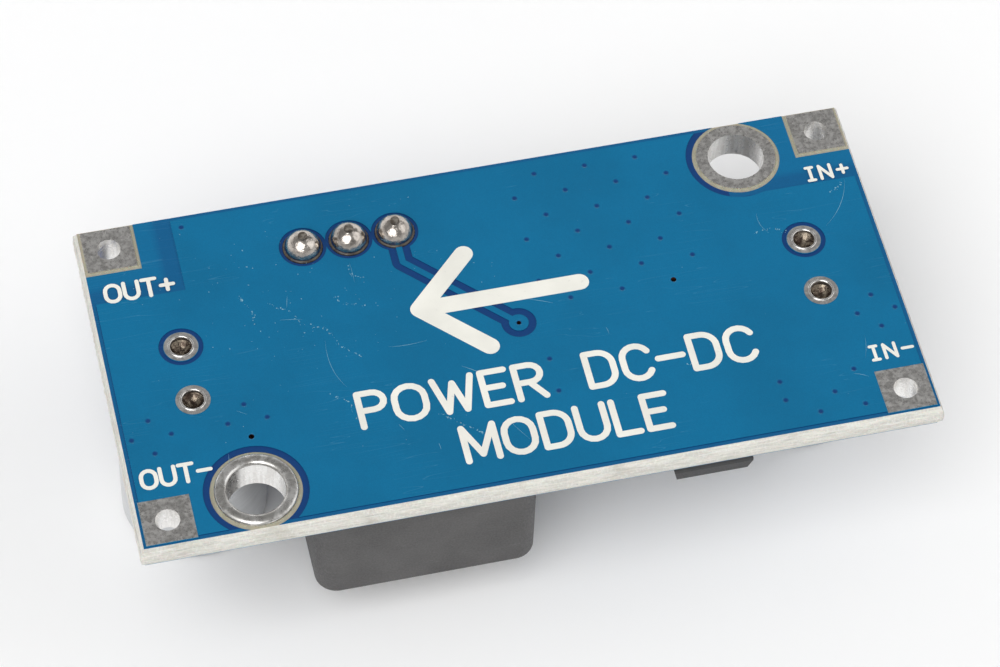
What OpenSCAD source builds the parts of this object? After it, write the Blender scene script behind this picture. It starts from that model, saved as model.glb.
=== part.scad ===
// Step-down (buck) converter module, solder side up.
// It lies on the flat tops of its two electrolytic capacitors: z = 0 is that plane.
// +X runs towards the input end, +Y towards the edge with both plus terminals.
// All sizes are in millimetres.

/* [Board] */
// Length of the board over its snapped edges
board_l = 43; // [42:0.5:60]
// Width of the board over its snapped edges
board_w = 21; // [20.5:0.5:34]
// Thickness of the bare laminate
laminate_t = 1.5; // [0.8:0.1:2.4]
// Depth of the V score on each face
score_depth = 0.45; // [0.1:0.05:0.7]
// Distance from the snapped edge to the rim of each face
score_set = 0.2; // [0.05:0.05:0.5]

/* [Foil, tin and mask] */
// Thickness of the copper foil
foil_t = 0.05; // [0.03:0.01:0.1]
// Thickness of the tin on bare lands
tin_t = 0.05; // [0.03:0.01:0.15]
// Thickness of the solder mask
mask_t = 0.03; // [0.02:0.01:0.06]
// Copper-free margin inside the rim of the face
rim_gap = 0.25; // [0.1:0.05:0.6]
// Gap between a round land and the ground plane
land_gap = 0.3; // [0.15:0.05:0.5]
// Gap between a trimmer land and the ground plane
pin_gap = 0.32; // [0.31:0.01:0.4]
// Gap between two copper areas on the component side
pour_gap = 0.4; // [0.25:0.05:0.6]
// Wall of a plated hole
plating_t = 0.1; // [0.05:0.01:0.2]

/* [Mounting holes] */
// Diameter of the two mounting holes
mount_d = 3.1; // [2.2:0.1:3.3]
// Diameter of the land around a mounting hole
mount_land_d = 4.4; // [4:0.1:4.5]
// Bare margin around a mounting land
mount_margin = 0.22; // [0.1:0.02:0.3]
// Gap between a mounting land and the ground plane
mount_gap = 0.6; // [0.4:0.05:0.7]
// Distance from the board's end to the centre of a mounting hole
mount_inset_x = 6.5; // [6:0.1:7]
// Distance from the board's long edge to the centre of a mounting hole
mount_inset_y = 2.5; // [2.4:0.1:2.7]

/* [Terminals] */
// Side of the square terminal lands
terminal_land = 2.7; // [2:0.1:2.9]
// Diameter of the terminal holes
terminal_d = 1.3; // [0.8:0.1:1.6]
// Distance from the board's end to the centre of a terminal
terminal_inset_x = 1.7; // [1.6:0.05:2]
// Distance from the board's long edge to the centre of a terminal
terminal_inset_y = 1.65; // [1.6:0.05:2]
// Bare margin around the plus terminals
terminal_margin = 0.2; // [0.05:0.05:0.3]
// Size of the copper-free corner at a plus terminal, along X
corner_l = 4.85; // [4:0.05:6]
// Size of the copper-free corner at a plus terminal, along Y
corner_w = 4.7; // [4:0.05:5.5]

/* [Electrolytic capacitors] */
// Diameter of a can
can_d = 8; // [6.3:0.1:8.4]
// Height of a capacitor with its base
cap_h = 10.5; // [10.4:0.1:14]
// Side of the square plastic base
cap_base_w = 8.3; // [8:0.1:8.6]
// Thickness of the base under the can
cap_base_t = 1; // [0.8:0.1:1.6]
// Height of the base's corner posts
cap_post_h = 2.3; // [1.8:0.1:3]
// Chamfer on the two corners at the plus end
cap_chamfer = 1.5; // [0.5:0.1:2]
// Distance from the board's end to the centre of a capacitor
cap_inset = 4.35; // [4.3:0.05:5]
// Width of a capacitor lead
cap_lead_w = 0.8; // [0.5:0.1:1.2]
// Thickness of a capacitor lead
cap_lead_t = 0.3; // [0.2:0.05:0.4]
// How far a lead reaches past the base
cap_lead_out = 0.45; // [0.2:0.05:0.8]
// Distance between the plated holes under a capacitor
cap_pitch = 3.5; // [3:0.1:5]
// Diameter of those holes
cap_hole_d = 1.15; // [0.8:0.05:1.3]
// Diameter of their lands on the solder side
cap_land_d = 1.85; // [1.7:0.05:2.2]

/* [Trimmer] */
// Length of the trimmer's body
trimmer_l = 9.53; // [8.6:0.01:10]
// Width of the trimmer's body
trimmer_w = 4.83; // [4.4:0.01:5]
// Height of the trimmer's body above its feet
trimmer_h = 9.65; // [7:0.05:9.8]
// Height of the feet
trimmer_foot = 0.38; // [0.2:0.02:0.5]
// Wall of the trimmer's body at its open bottom
trimmer_wall = 0.5; // [0.4:0.05:0.8]
// Depth of the sealed base plate
trimmer_base_t = 1.2; // [0.8:0.1:2]
// Distance from the middle of the board to the trimmer
trimmer_x = -7; // [-7.4:0.1:-6.6]
// Distance from the board's edge to the pin row
trimmer_inset = 3.63; // [3.3:0.05:3.8]
// Distance between the pins
pin_pitch = 2.54; // [2:0.01:3]
// Diameter of a pin
pin_d = 0.5; // [0.4:0.05:0.7]
// Diameter of the trimmer's holes inside their plating
pin_hole_d = 0.9; // [0.8:0.05:1.1]
// Diameter of the trimmer's lands
pin_land_d = 2; // [1.6:0.1:2.1]
// Diameter of the adjusting screw's head
screw_d = 2.19; // [1.8:0.01:2.4]
// Height of the screw's head
screw_head_h = 1.4; // [1.2:0.1:2]
// How far the head stands out of the body
screw_out = 0.2; // [0.1:0.05:0.25]
// Width of the screwdriver slot
slot_w = 0.56; // [0.4:0.02:0.7]
// Depth of the screwdriver slot
slot_depth = 0.76; // [0.5:0.02:0.9]
// Diameter of the screw's stem
stem_d = 1.2; // [0.8:0.1:1.5]
// Length of the screw's stem
stem_l = 5.5; // [2:0.1:6]
// Running clearance around the screw, on the radius
screw_fit = 0.05; // [0.02:0.01:0.1]
// Distance from the body's end to the screw's axis
screw_inset = 1.5; // [1.4:0.05:2]
// Height of a solder dome above its land
dome_h = 0.9; // [0.6:0.1:1.6]
// How far a pin tip stands out of its dome
pin_tip = 0.12; // [0.05:0.01:0.4]

/* [Inductor] */
// Side of the square shield
inductor_w = 12; // [10:0.1:12.2]
// Height of the inductor above the board
inductor_h = 7; // [5:0.1:8.5]
// Thickness of the plastic base
inductor_base_t = 0.8; // [0.6:0.1:1.2]
// Diameter of the bore in the shield
shield_bore_d = 10; // [9.2:0.1:10.4]
// Ring gap between the drum's flanges and the shield
drum_gap = 0.3; // [0.1:0.05:0.5]
// Thickness of a drum flange
flange_t = 1.1; // [0.8:0.1:1.5]
// Diameter of the drum's hub
hub_d = 4.6; // [3.5:0.1:6]
// Diameter of the winding wire
wire_d = 0.72; // [0.6:0.02:0.9]
// Distance from the middle of the board to the inductor, along X
inductor_x = -6.1; // [-6.2:0.05:-5.9]
// Distance from the middle of the board to the inductor, along Y
inductor_y = -3.6; // [-3.9:0.1:-3.6]
// Width of an inductor terminal
clip_w = 4.4; // [3:0.1:6]
// Thickness of an inductor terminal
clip_t = 0.25; // [0.15:0.05:0.35]

/* [Regulator] */
// Width of the regulator's body
reg_w = 10.2; // [9:0.1:10.2]
// Length of the moulded body
reg_l = 9; // [7.5:0.1:9.4]
// Height of the regulator above its tab's underside
reg_h = 4.5; // [3.6:0.1:5]
// Thickness of the metal tab
tab_t = 1.27; // [0.8:0.01:1.6]
// How far the tab reaches past the body
tab_out = 1.3; // [0.8:0.1:1.6]
// Distance between the leads
lead_pitch = 1.7; // [1.5:0.01:1.75]
// Width of a lead
lead_w = 0.8; // [0.6:0.05:1]
// Thickness of a lead
lead_t = 0.45; // [0.3:0.05:0.5]
// Reach of the leads in front of the body
lead_out = 4.8; // [4:0.1:5.1]
// Length of a lead's flat foot
foot_l = 2.2; // [1.5:0.1:2.6]
// Diameter of the ejector mark in the regulator's body
eject_d = 1.6; // [1:0.1:2]
// Depth of that mark
eject_depth = 0.12; // [0.05:0.01:0.2]
// Distance from the middle of the board to the regulator
reg_x = 6.7; // [6.6:0.05:6.8]
// Distance from the board's edge to the end of the tab
reg_inset = 0.6; // [0.5:0.05:0.9]

/* [Diode] */
// Length of the diode's body
diode_l = 4.3; // [3.8:0.1:4.6]
// Width of the diode's body
diode_w = 2.6; // [2.2:0.1:2.8]
// Height of the diode
diode_h = 2.2; // [1.8:0.1:2.6]
// Width of a diode terminal
diode_lead_w = 1.45; // [1:0.05:1.6]
// Thickness of a diode terminal
diode_lead_t = 0.2; // [0.15:0.05:0.3]
// Distance from the middle of the board to the diode
diode_x = 9.3; // [9.2:0.1:9.4]
// Distance from the board's edge to the diode's middle
diode_inset = 2.1; // [1.9:0.1:2.3]

/* [Chips] */
// Length of a chip component
chip_l = 2; // [1.6:0.1:2.2]
// Width of a chip component
chip_w = 1.25; // [0.8:0.05:1.4]
// Height of a chip resistor
resistor_h = 0.5; // [0.4:0.05:0.7]
// Height of the chip capacitor
chip_cap_h = 0.9; // [0.6:0.05:1.25]
// Height of the light-emitting diode's substrate
led_base_h = 0.4; // [0.3:0.05:0.5]
// Height of its clear lens
led_lens_h = 0.5; // [0.3:0.05:0.7]
// Length of a chip's plated end
chip_end = 0.4; // [0.25:0.05:0.5]
// Thickness of a chip's plating
chip_plate_t = 0.05; // [0.03:0.01:0.08]
// Distance from the output end to the light-emitting diode and its resistor
led_inset = 6.9; // [6.6:0.1:7]
// Distance from the board's edge to the light-emitting diode
led_edge = 2; // [1.6:0.1:2.2]
// Distance from it to its resistor
led_step = 2; // [1.9:0.1:2.6]
// Distance from the middle of the board to the other two chips
chip_x = -0.5; // [-0.6:0.05:-0.3]
// Distance from the board's edge to the chip capacitor
chip_edge = 2.2; // [1.8:0.1:2.4]
// Distance from it to the feedback resistor
chip_step = 3; // [2.9:0.1:3.6]

/* [Vias] */
// Outer diameter of a via's barrel
via_d = 0.5; // [0.4:0.05:0.6]
// Diameter of the hole in a via
via_hole_d = 0.3; // [0.2:0.05:0.35]
// Spacing of the staggered vias under the regulator
via_pitch = 2.85; // [2.4:0.05:2.9]
// Width of the feedback track
track_w = 0.28; // [0.2:0.02:0.5]
// Gap on each side of the feedback track
track_gap = 0.48; // [0.2:0.02:0.5]
// Straight drop of the feedback track from its pin
track_drop = 2.1; // [1.6:0.1:3]
// How far the feedback track then runs at 45 degrees, along each axis
track_run = 5.2; // [3:0.1:5.5]
// Distance from the end of the tab to the middle of the vias
via_set = 5; // [4.6:0.1:5.2]
// Distance from a diamond of vias to the middle of each of its vias
diamond_r = 1.05; // [0.8:0.05:1.1]
// Distance from the board's ends to the outer diamonds
diamond_inset = 1.8; // [1.8:0.05:2]
// Distance from the minus edge to the diamonds
diamond_rise = 6.9; // [6.6:0.1:7]
// Distance from the board's output end to the inner diamond
inner_inset = 6.9; // [6.8:0.1:7]
// Distance from the outermost lead to the two vias beside it
pair_out = 1.5; // [1.2:0.1:1.7]
// Step of the vias beside the input minus terminal
stitch_step = 0.6; // [0.5:0.05:0.6]

/* [Hidden] */

$fn = 48;
slack = 0.01;                          // overlap of cutting tools past a face

// Levels above the laminate's faces, and the two faces themselves
land_t = foil_t + tin_t;
mask_top = foil_t + mask_t;
// Dimple in the mask over a closed via, part of a sphere
dimple_w = 0.4;
dimple_depth = 0.045;
dimple_r = (dimple_w * dimple_w / 4 + dimple_depth * dimple_depth) / (2 * dimple_depth);
component_face = cap_h + land_t;
solder_face = component_face + laminate_t;

// Faces and rims of the board
face_l = board_l - 2 * score_set;
face_w = board_w - 2 * score_set;
plane_l = face_l - 2 * rim_gap;
plane_w = face_w - 2 * rim_gap;

// Places of the drilled holes
terminal_x = board_l / 2 - terminal_inset_x;
terminal_y = board_w / 2 - terminal_inset_y;
cap_x = board_l / 2 - cap_inset;
trimmer_y = board_w / 2 - trimmer_inset;
mount_x = board_l / 2 - mount_inset_x;
mount_y = board_w / 2 - mount_inset_y;
mount_spots = [[-mount_x, -mount_y], [mount_x, mount_y]];
terminal_spots = [for (sx = [-1, 1], sy = [-1, 1]) [sx * terminal_x, sy * terminal_y]];
cap_plus_spots = [for (s = [-1, 1]) [s * cap_x, cap_pitch / 2]];
cap_minus_spots = [for (s = [-1, 1]) [s * cap_x, -cap_pitch / 2]];
cap_spots = concat(cap_plus_spots, cap_minus_spots);
pin_spots = [for (i = [-1 : 1]) [trimmer_x + i * pin_pitch, trimmer_y]];

// The feedback track: straight down from the last pin, then at 45 degrees to its via
track_bend = pin_spots[2] - [0, track_drop];
feedback_via = track_bend + [track_run, -track_run];
track_route = [pin_spots[2], track_bend, feedback_via];

// Places of the vias
reg_tab_y = board_w / 2 - reg_inset;
via_mid_y = reg_tab_y - via_set;
wide_rows = [for (i = [-1.5 : 1.5], j = [-1 : 1]) [reg_x + i * via_pitch, via_mid_y + j * via_pitch]];
tall_rows = [for (i = [-1 : 1], j = [-1.5 : 1.5]) [reg_x + i * via_pitch, via_mid_y + j * via_pitch]];
thermal_spots = concat(wide_rows, tall_rows);
function diamond(p) = [for (a = [0 : 90 : 270]) p + diamond_r * [cos(a), sin(a)]];
diamond_y = diamond_rise - board_w / 2;
outer_diamond_x = board_l / 2 - diamond_inset;
inner_diamond = [inner_inset - board_l / 2, diamond_y];
in_minus_spot = [terminal_x, -terminal_y];
in_steps = [[-10.7, 3], [-10.7, 1], [-6.2, 1], [-8, -0.8], [-3.9, 3], [-3.9, -0.8]];
reg_body_y = reg_tab_y - tab_out - reg_l / 2;
reg_edge_y = reg_body_y - reg_l / 2;
foot_mid_y = reg_edge_y - lead_out + foot_l / 2;
pair_x = reg_x - 2 * lead_pitch - pair_out;
corner_via = [corner_l - plane_l / 2 + via_d, plane_w / 2 - via_d];
stitching_spots = concat(
    diamond([-outer_diamond_x, diamond_y]),
    diamond([outer_diamond_x, diamond_y]),
    diamond(inner_diamond),
    [for (p = in_steps) in_minus_spot + stitch_step * p],
    [for (s = [-1, 1]) [pair_x, foot_mid_y + s * diamond_r]],
    [feedback_via, corner_via]
);
via_spots = concat(thermal_spots, stitching_spots);
// Two vias that the mask leaves open
open_vias = [tall_rows[8], diamond(inner_diamond)[3]];

// How far the copper-free strip at the input end reaches past its mounting hole
strip_reach = 1;

// Sizes worked out for the parts under the board
part_seat = land_t;                    // every part sits on the tinned lands
exit_h = 2.6;                          // height at which the regulator's leads leave
diode_y = -board_w / 2 + diode_inset;
diode_foot = 1.2;                       // length of each of its strips under the body
screw_step = 0.6;
drum_d = shield_bore_d - 2 * drum_gap;
drum_h = inductor_h - inductor_base_t;
window_h = drum_h - 2 * flange_t;
turns = floor(window_h / wire_d);
wind_pitch = window_h / turns;
layers = floor((drum_d - hub_d) / 2 / wire_d);
screw_x = trimmer_x - trimmer_l / 2 + screw_inset;
screw_y = trimmer_y + screw_step;
trimmer_top = part_seat + trimmer_foot + trimmer_h;
led_spot = [led_inset - board_l / 2, board_w / 2 - led_edge];
led_resistor_spot = led_spot - [0, led_step];
chip_cap_spot = [chip_x, board_w / 2 - chip_edge];
feedback_resistor_spot = chip_cap_spot - [0, chip_step];

// How far the lands stand out round a capacitor's lead, an inductor's clip, a lead's foot
// and the end of a chip
cap_land_out = 0.8;
clip_land_out = 0.5;
foot_land_out = 0.2;
chip_land_out = 0.3;

// Copper on the component side, as rectangles of X and Y limits: the input and output areas,
// the area that the regulator switches, and ground
split = pour_gap / 2;
edge_x = plane_l / 2;
edge_y = plane_w / 2;
lead_x = [for (i = [-2 : 2]) reg_x + i * lead_pitch];
lead_half = (lead_pitch - pour_gap) / 2 - 0.05;
foot_low = foot_mid_y - foot_l / 2 - pour_gap;
foot_high = foot_mid_y + foot_l / 2 + pour_gap;
tab_left = reg_x - reg_w / 2 + 0.1;
tab_right = reg_x + reg_w / 2 + 0.3;
tab_low = reg_edge_y - 1;
in_split = tab_right + pour_gap;
link_w = 2;
clip_right = inductor_x + inductor_w / 2 + 1;
clip_left = inductor_x - inductor_w / 2 - 0.9;
clip_reach = 3.7;
clip_half = clip_w / 2 + clip_land_out;
band_top = foot_low - pour_gap;
band_low = band_top - 1.6;
led_side = led_spot[0] - chip_l / 2;
input_pour = [
    [in_split, edge_x, split, edge_y],
    [in_split, in_split + link_w, foot_low, split + 1],
    [lead_x[4] - lead_half, in_split + link_w, foot_low, foot_high],
];
switch_pour = [
    [clip_right - clip_reach, clip_right, inductor_y - clip_half, inductor_y + clip_half],
    [clip_right - clip_reach, lead_x[3] + lead_half, band_low, band_top],
    [lead_x[3] - lead_half, lead_x[3] + lead_half, band_low, foot_high],
    [diode_x - diode_l / 2 - 0.5, lead_x[3] + lead_half, diode_y - diode_w / 2, band_top],
];
output_pour = [
    [-edge_x, led_side - pour_gap - 0.5, split, edge_y],
    [-edge_x, clip_left + clip_reach, split, terminal_y - 3.7],
    [clip_left, clip_left + clip_reach, inductor_y - clip_half, split + 1],
    [-edge_x, led_side + 0.3, led_resistor_spot[1] - 0.35, led_resistor_spot[1] + 0.35],
];
ground_pour = [
    [tab_left, tab_right, tab_low, edge_y],
    [lead_x[2] - lead_half, lead_x[2] + lead_half, foot_low, tab_low + 1],
    [pair_x - 0.6, lead_x[0] + lead_half, foot_low, foot_high],
    [in_split + link_w + pour_gap, edge_x, -edge_y, -split],
    [diode_x + diode_l / 2 - diode_foot - 0.3, edge_x, -edge_y, band_low + 0.6],
    [-edge_x, clip_left - pour_gap, -edge_y, -split],
    [chip_x - chip_w / 2, tab_left + 1, feedback_resistor_spot[1] + 0.7, chip_cap_spot[1] - 0.7],
    [led_side - 0.2, led_side + 0.35, led_spot[1], corner_via[1] + 0.05],
    [led_spot[0] + chip_l / 2 - 0.35, led_spot[0] + chip_l / 2 + 0.2,
     led_resistor_spot[1], led_spot[1]],
];
// Tracks from the feedback via to the regulator's fourth lead and to the divider's resistor
sense_y = tab_low - pour_gap - track_w;
sense_route = [feedback_via, [feedback_via[0], sense_y], [lead_x[1], sense_y],
               [lead_x[1], foot_high]];
divider_route = [feedback_via, [chip_x, feedback_via[1] + 1.3],
                 [chip_x, feedback_resistor_spot[1] - chip_l / 2]];

// ---- placing ----

module at(spots) {
    for (p = spots)
        translate([p[0], p[1], 0])
            children();
}

// Puts a part on the component side: its own +Z then points away from the board.
module under(p, seat = 0) {
    translate([p[0], p[1], component_face - seat])
        mirror([0, 0, 1])
            children();
}

// A straight prism on the solder side, from one level above the laminate to another.
module on_top(low, high) {
    translate([0, 0, solder_face + low])
        linear_extrude(high - low)
            children();
}

// The same on the component side.
module on_bottom(low, high) {
    translate([0, 0, component_face - high])
        linear_extrude(high - low)
            children();
}

// A block whose four sides slope in from a waist to both faces.
module waisted(l, w, h, low_waist, high_waist, set) {
    intersection() {
        rotate([90, 0, 0])
            translate([0, 0, -w / 2])
                linear_extrude(w)
                    waist_outline(l, h, low_waist, high_waist, set);
        rotate([90, 0, 90])
            translate([0, 0, -l / 2])
                linear_extrude(l)
                    waist_outline(w, h, low_waist, high_waist, set);
    }
}

module waist_outline(l, h, low_waist, high_waist, set) {
    polygon([
        [-l / 2 + set, 0], [l / 2 - set, 0],
        [l / 2, low_waist], [l / 2, high_waist],
        [l / 2 - set, h], [-l / 2 + set, h],
        [-l / 2, high_waist], [-l / 2, low_waist],
    ]);
}

module tube(outer, inner, low, high) {
    translate([0, 0, low])
        difference() {
            cylinder(d = outer, h = high - low);
            translate([0, 0, -slack])
                cylinder(d = inner, h = high - low + 2 * slack);
        }
}

module rounded_square(w, l, r) {
    square([w - 2 * r, l], center = true);
    square([w, l - 2 * r], center = true);
    for (sx = [-1, 1], sy = [-1, 1])
        translate([sx * (w / 2 - r), sy * (l / 2 - r)])
            circle(r);
}

// ---- outlines on the board ----

module face() {
    square([face_l, face_w], center = true);
}

module route(points, w) {
    for (i = [0 : len(points) - 2])
        leg(points[i], points[i + 1], w);
    at(points)
        circle(d = w);
}

module leg(a, b, w) {
    v = b - a;
    translate(a)
        rotate(atan2(v[1], v[0]))
            translate([0, -w / 2])
                square([norm(v), w]);
}

// Copper-free areas of the solder side; narrow makes each side that much tighter.
module copper_free(narrow = 0) {
    for (s = [-1, 1])
        translate([s * (plane_l / 2 - corner_l / 2 + narrow), plane_w / 2 - corner_w / 2 + narrow])
            square([corner_l, corner_w], center = true);
    translate([mount_x - strip_reach + narrow, plane_w / 2 - corner_w + narrow])
        square([plane_l / 2 - mount_x, corner_w]);
    at(mount_spots)
        circle(d = mount_land_d + 2 * mount_gap - 2 * narrow);
    at(cap_plus_spots)
        circle(d = cap_land_d + 2 * land_gap - 2 * narrow);
    at(pin_spots)
        circle(d = pin_land_d + 2 * pin_gap - 2 * narrow);
    route(track_route, track_w + 2 * track_gap - 2 * narrow);
    at([feedback_via])
        circle(d = 2 * via_d + 2 * track_gap - 2 * narrow);
}

// The feedback track with the ring round its via.
module track_shape(grow = 0) {
    route(track_route, track_w + 2 * grow);
    at([feedback_via])
        circle(d = 2 * via_d + 2 * grow);
}

module terminal_shape(margin = 0) {
    square(terminal_land + 2 * margin, center = true);
}

module lands_top(margin = 0) {
    at(terminal_spots)
        terminal_shape(margin);
    at(mount_spots)
        circle(d = mount_land_d + 2 * margin);
    at(cap_spots)
        circle(d = cap_land_d + 2 * margin);
    at(pin_spots)
        circle(d = pin_land_d + 2 * margin);
}

module mask_windows_top() {
    lands_top();
    at([terminal_spots[1], terminal_spots[3]])
        terminal_shape(terminal_margin);
    at(mount_spots)
        circle(d = mount_land_d + 2 * mount_margin);
    at(open_vias)
        circle(d = via_hole_d);
}

// Lands of the surface-mounted parts, drawn as they lie under the board. Each stands out
// round the foot that is soldered to it.
module part_lands() {
    for (s = [-1, 1], e = [-1, 1])
        translate([s * cap_x, e * cap_foot_mid])
            square([cap_lead_w + 2 * cap_land_out, cap_foot_l + cap_land_out], center = true);
    for (s = [-1, 1])
        translate([inductor_x + s * (inductor_w / 2 - clip_foot / 2), inductor_y])
            square([clip_foot + 2 * clip_land_out, clip_w + clip_land_out], center = true);
    translate([reg_x, reg_tab_y - tab_land_l / 2])
        square([reg_w + 2 * foot_land_out, tab_land_l], center = true);
    for (i = [-2 : 2])
        translate([reg_x + i * lead_pitch, foot_mid_y])
            square([lead_w + 2 * foot_land_out, foot_l + 4 * foot_land_out], center = true);
    for (s = [-1, 1])
        translate([diode_x + s * diode_foot_mid, diode_y])
            square([diode_foot + 3 * foot_land_out, diode_lead_w + 2 * foot_land_out], center = true);
    at([led_spot, led_resistor_spot])
        chip_lands();
    at([feedback_resistor_spot, chip_cap_spot])
        rotate(90)
            chip_lands();
}

module chip_lands() {
    for (s = [-1, 1])
        translate([s * (chip_l - chip_end + chip_land_out) / 2, 0])
            square([chip_end + 2 * chip_land_out, chip_w + chip_land_out / 3], center = true);
}

// Every bare land of the component side, with the copper inside it.

module mask_windows_bottom() {
    part_lands();
    at(terminal_spots)
        terminal_shape();
    at(mount_spots)
        circle(d = mount_land_d);
    at(cap_spots)
        circle(d = cap_hole_d + 2 * plating_t);
    at(pin_spots)
        circle(d = pin_land_d);
}

// Copper areas of the component side; grow lets each side out.
module pours(grow = 0) {
    difference() {
        boxes(concat(input_pour, switch_pour, output_pour, ground_pour), grow);
        at(mount_spots)
            circle(d = mount_land_d + 2 * mount_gap - 2 * grow);
    }
    route(divider_route, track_w + 2 * grow);
    route(sense_route, track_w + 2 * grow);
    at([feedback_via])
        circle(d = 2 * via_d + 2 * grow);
}

// Rectangles given by their two X limits and their two Y limits.
module boxes(list, grow) {
    for (b = list)
        translate([b[0] - grow, b[2] - grow])
            square([b[1] - b[0] + 2 * grow, b[3] - b[2] + 2 * grow]);
}

// ---- board ----

module drill(spots, d) {
    translate([0, 0, component_face - slack])
        at(spots)
            cylinder(d = d, h = laminate_t + 2 * slack);
}

module circuit_board() {
    color("tan")
        difference() {
            translate([0, 0, component_face])
                waisted(board_l, board_w, laminate_t, score_depth, laminate_t - score_depth, score_set);
            drill(mount_spots, mount_d + 2 * plating_t);
            drill(terminal_spots, terminal_d + 2 * plating_t);
            drill(cap_spots, cap_hole_d + 2 * plating_t);
            drill(pin_spots, pin_hole_d + 2 * plating_t);
            drill(via_spots, via_d);
        }
}

module plane_outline(grow = 0) {
    difference() {
        square([plane_l + 2 * grow, plane_w + 2 * grow], center = true);
        copper_free(grow);
    }
}

module plane_shape() {
    difference() {
        plane_outline();
        lands_top();
        at(via_spots)
            circle(d = via_d);
    }
}

module ground_plane() {
    color("peru")
        on_top(0, foil_t)
            plane_shape();
}

module feedback_track() {
    color("peru")
        on_top(0, foil_t)
            difference() {
                track_shape();
                at([pin_spots[2]])
                    circle(d = pin_land_d);
                at([feedback_via])
                    circle(d = via_d);
            }
}

module component_foil() {
    color("peru")
        other_side()
            on_top(0, foil_t)
                difference() {
                    pours();
                    mask_windows_bottom();
                    at(via_spots)
                        circle(d = via_d);
                }
}

// Turns a layer of the solder side over to the component side.
module other_side() {
    translate([0, 0, component_face + solder_face])
        mirror([0, 0, 1])
            children();
}

// A mask on the solder side. It follows the foil: it stands on the copper, sinks into every
// gap between coppers and closes the vias with a dimple.
// Child 0 is its windows, child 1 the copper and child 2 where the mask stays at full height.
module mask() {
    difference() {
        on_top(0, mask_top)
            difference() {
                face();
                children(0);
            }
        on_top(-slack, foil_t) {
            children(1);
            via_rings();
        }
        on_top(mask_t, mask_top + slack)
            difference() {
                square([board_l, board_w], center = true);
                children(2);
                at(via_spots)
                    circle(d = via_d + 2 * mask_t);
            }
        at(via_spots)
            translate([0, 0, solder_face + mask_top + dimple_r - dimple_depth])
                sphere(dimple_r);
    }
}

module via_rings() {
    at(via_spots)
        difference() {
            circle(d = via_d);
            circle(d = via_hole_d);
        }
}

module solder_mask_top() {
    color("steelblue")
        mask() {
            mask_windows_top();
            union() {
                plane_shape();
                track_shape();
            }
            union() {
                plane_outline(mask_t);
                track_shape(mask_t);
                lands_top(mask_t);
            }
        }
}

module solder_mask_bottom() {
    color("steelblue")
        other_side()
            mask() {
                mask_windows_bottom();
                pours();
                pours(mask_t);
            }
}

module component_lands() {
    color("silver")
        on_bottom(0, land_t)
            difference() {
                part_lands();
                at(cap_spots)
                    circle(d = cap_hole_d + 2 * plating_t);
                at(via_spots)
                    circle(d = via_d);
            }
}

// ---- plated holes ----

// Lands on both faces, joined by the lining of the hole.
module lined_hole(d, land_top, land_bottom) {
    low = component_face - land_t;
    high = solder_face + land_t;
    difference() {
        union() {
            translate([0, 0, solder_face])
                cylinder(d = land_top, h = land_t);
            translate([0, 0, low])
                cylinder(d = land_bottom, h = land_t);
            translate([0, 0, low])
                cylinder(d = d + 2 * plating_t, h = high - low);
        }
        translate([0, 0, low - slack])
            cylinder(d = d, h = high - low + 2 * slack);
    }
}

module terminal(p) {
    low = component_face - land_t;
    high = solder_face + land_t;
    color("silver")
        translate([p[0], p[1], 0])
            difference() {
                union() {
                    translate([0, 0, solder_face])
                        linear_extrude(land_t)
                            terminal_shape();
                    translate([0, 0, low])
                        linear_extrude(land_t)
                            terminal_shape();
                    translate([0, 0, low])
                        cylinder(d = terminal_d + 2 * plating_t, h = high - low);
                }
                translate([0, 0, low - slack])
                    cylinder(d = terminal_d, h = high - low + 2 * slack);
            }
}

module out_minus_terminal() terminal(terminal_spots[0]);
module out_plus_terminal() terminal(terminal_spots[1]);
module in_minus_terminal() terminal(terminal_spots[2]);
module in_plus_terminal() terminal(terminal_spots[3]);

module mounting_hole_linings() {
    color("silver")
        at(mount_spots)
            lined_hole(mount_d, mount_land_d, mount_land_d);
}

module capacitor_hole_linings() {
    color("silver")
        at(cap_spots)
            lined_hole(cap_hole_d, cap_land_d, cap_hole_d + 2 * plating_t);
}

module trimmer_hole_linings() {
    color("silver")
        at(pin_spots)
            lined_hole(pin_hole_d, pin_land_d, pin_land_d);
}

module via() {
    tube(via_d, via_hole_d, component_face - foil_t, solder_face + foil_t);
}

module thermal_vias() {
    color("peru")
        at(thermal_spots)
            via();
}

module stitching_vias() {
    color("peru")
        at(stitching_spots)
            via();
}

// ---- electrolytic capacitors ----

cap_foot_in = cap_pitch / 2 - 0.2;
cap_foot_out = cap_base_w / 2 + cap_lead_out;
cap_foot_l = cap_foot_out - cap_foot_in;
cap_foot_mid = (cap_foot_out + cap_foot_in) / 2;
can_fit = 0.05;
post_w = 1.9;
can_round = 0.6;
score_w = 0.2;
vent_depth = 0.12;
crimp_h = 3.4;
crimp_r = 0.45;

module can(side) {
    color("gainsboro")
        under([side * cap_x, 0])
            difference() {
                rotate_extrude()
                    can_profile();
                vent_score();
            }
}

module can_profile() {
    low = land_t + cap_base_t;
    high = land_t + cap_h;
    difference() {
        union() {
            translate([0, low])
                square([can_d / 2, high - low - can_round]);
            translate([0, low])
                square([can_d / 2 - can_round, high - low]);
            translate([can_d / 2 - can_round, high - can_round])
                circle(can_round);
        }
        translate([can_d / 2 + crimp_r / 2, land_t + crimp_h])
            circle(crimp_r);
        translate([-can_round - slack, low - slack])
            square([can_round + slack, high - low]);
    }
}

// The pressure relief scored in the flat end.
module vent_score() {
    for (a = [0 : 60 : 120])
        rotate(a)
            translate([-can_d / 4, -score_w / 2, land_t + cap_h - vent_depth])
                cube([can_d / 2, score_w, 2 * vent_depth]);
}

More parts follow.
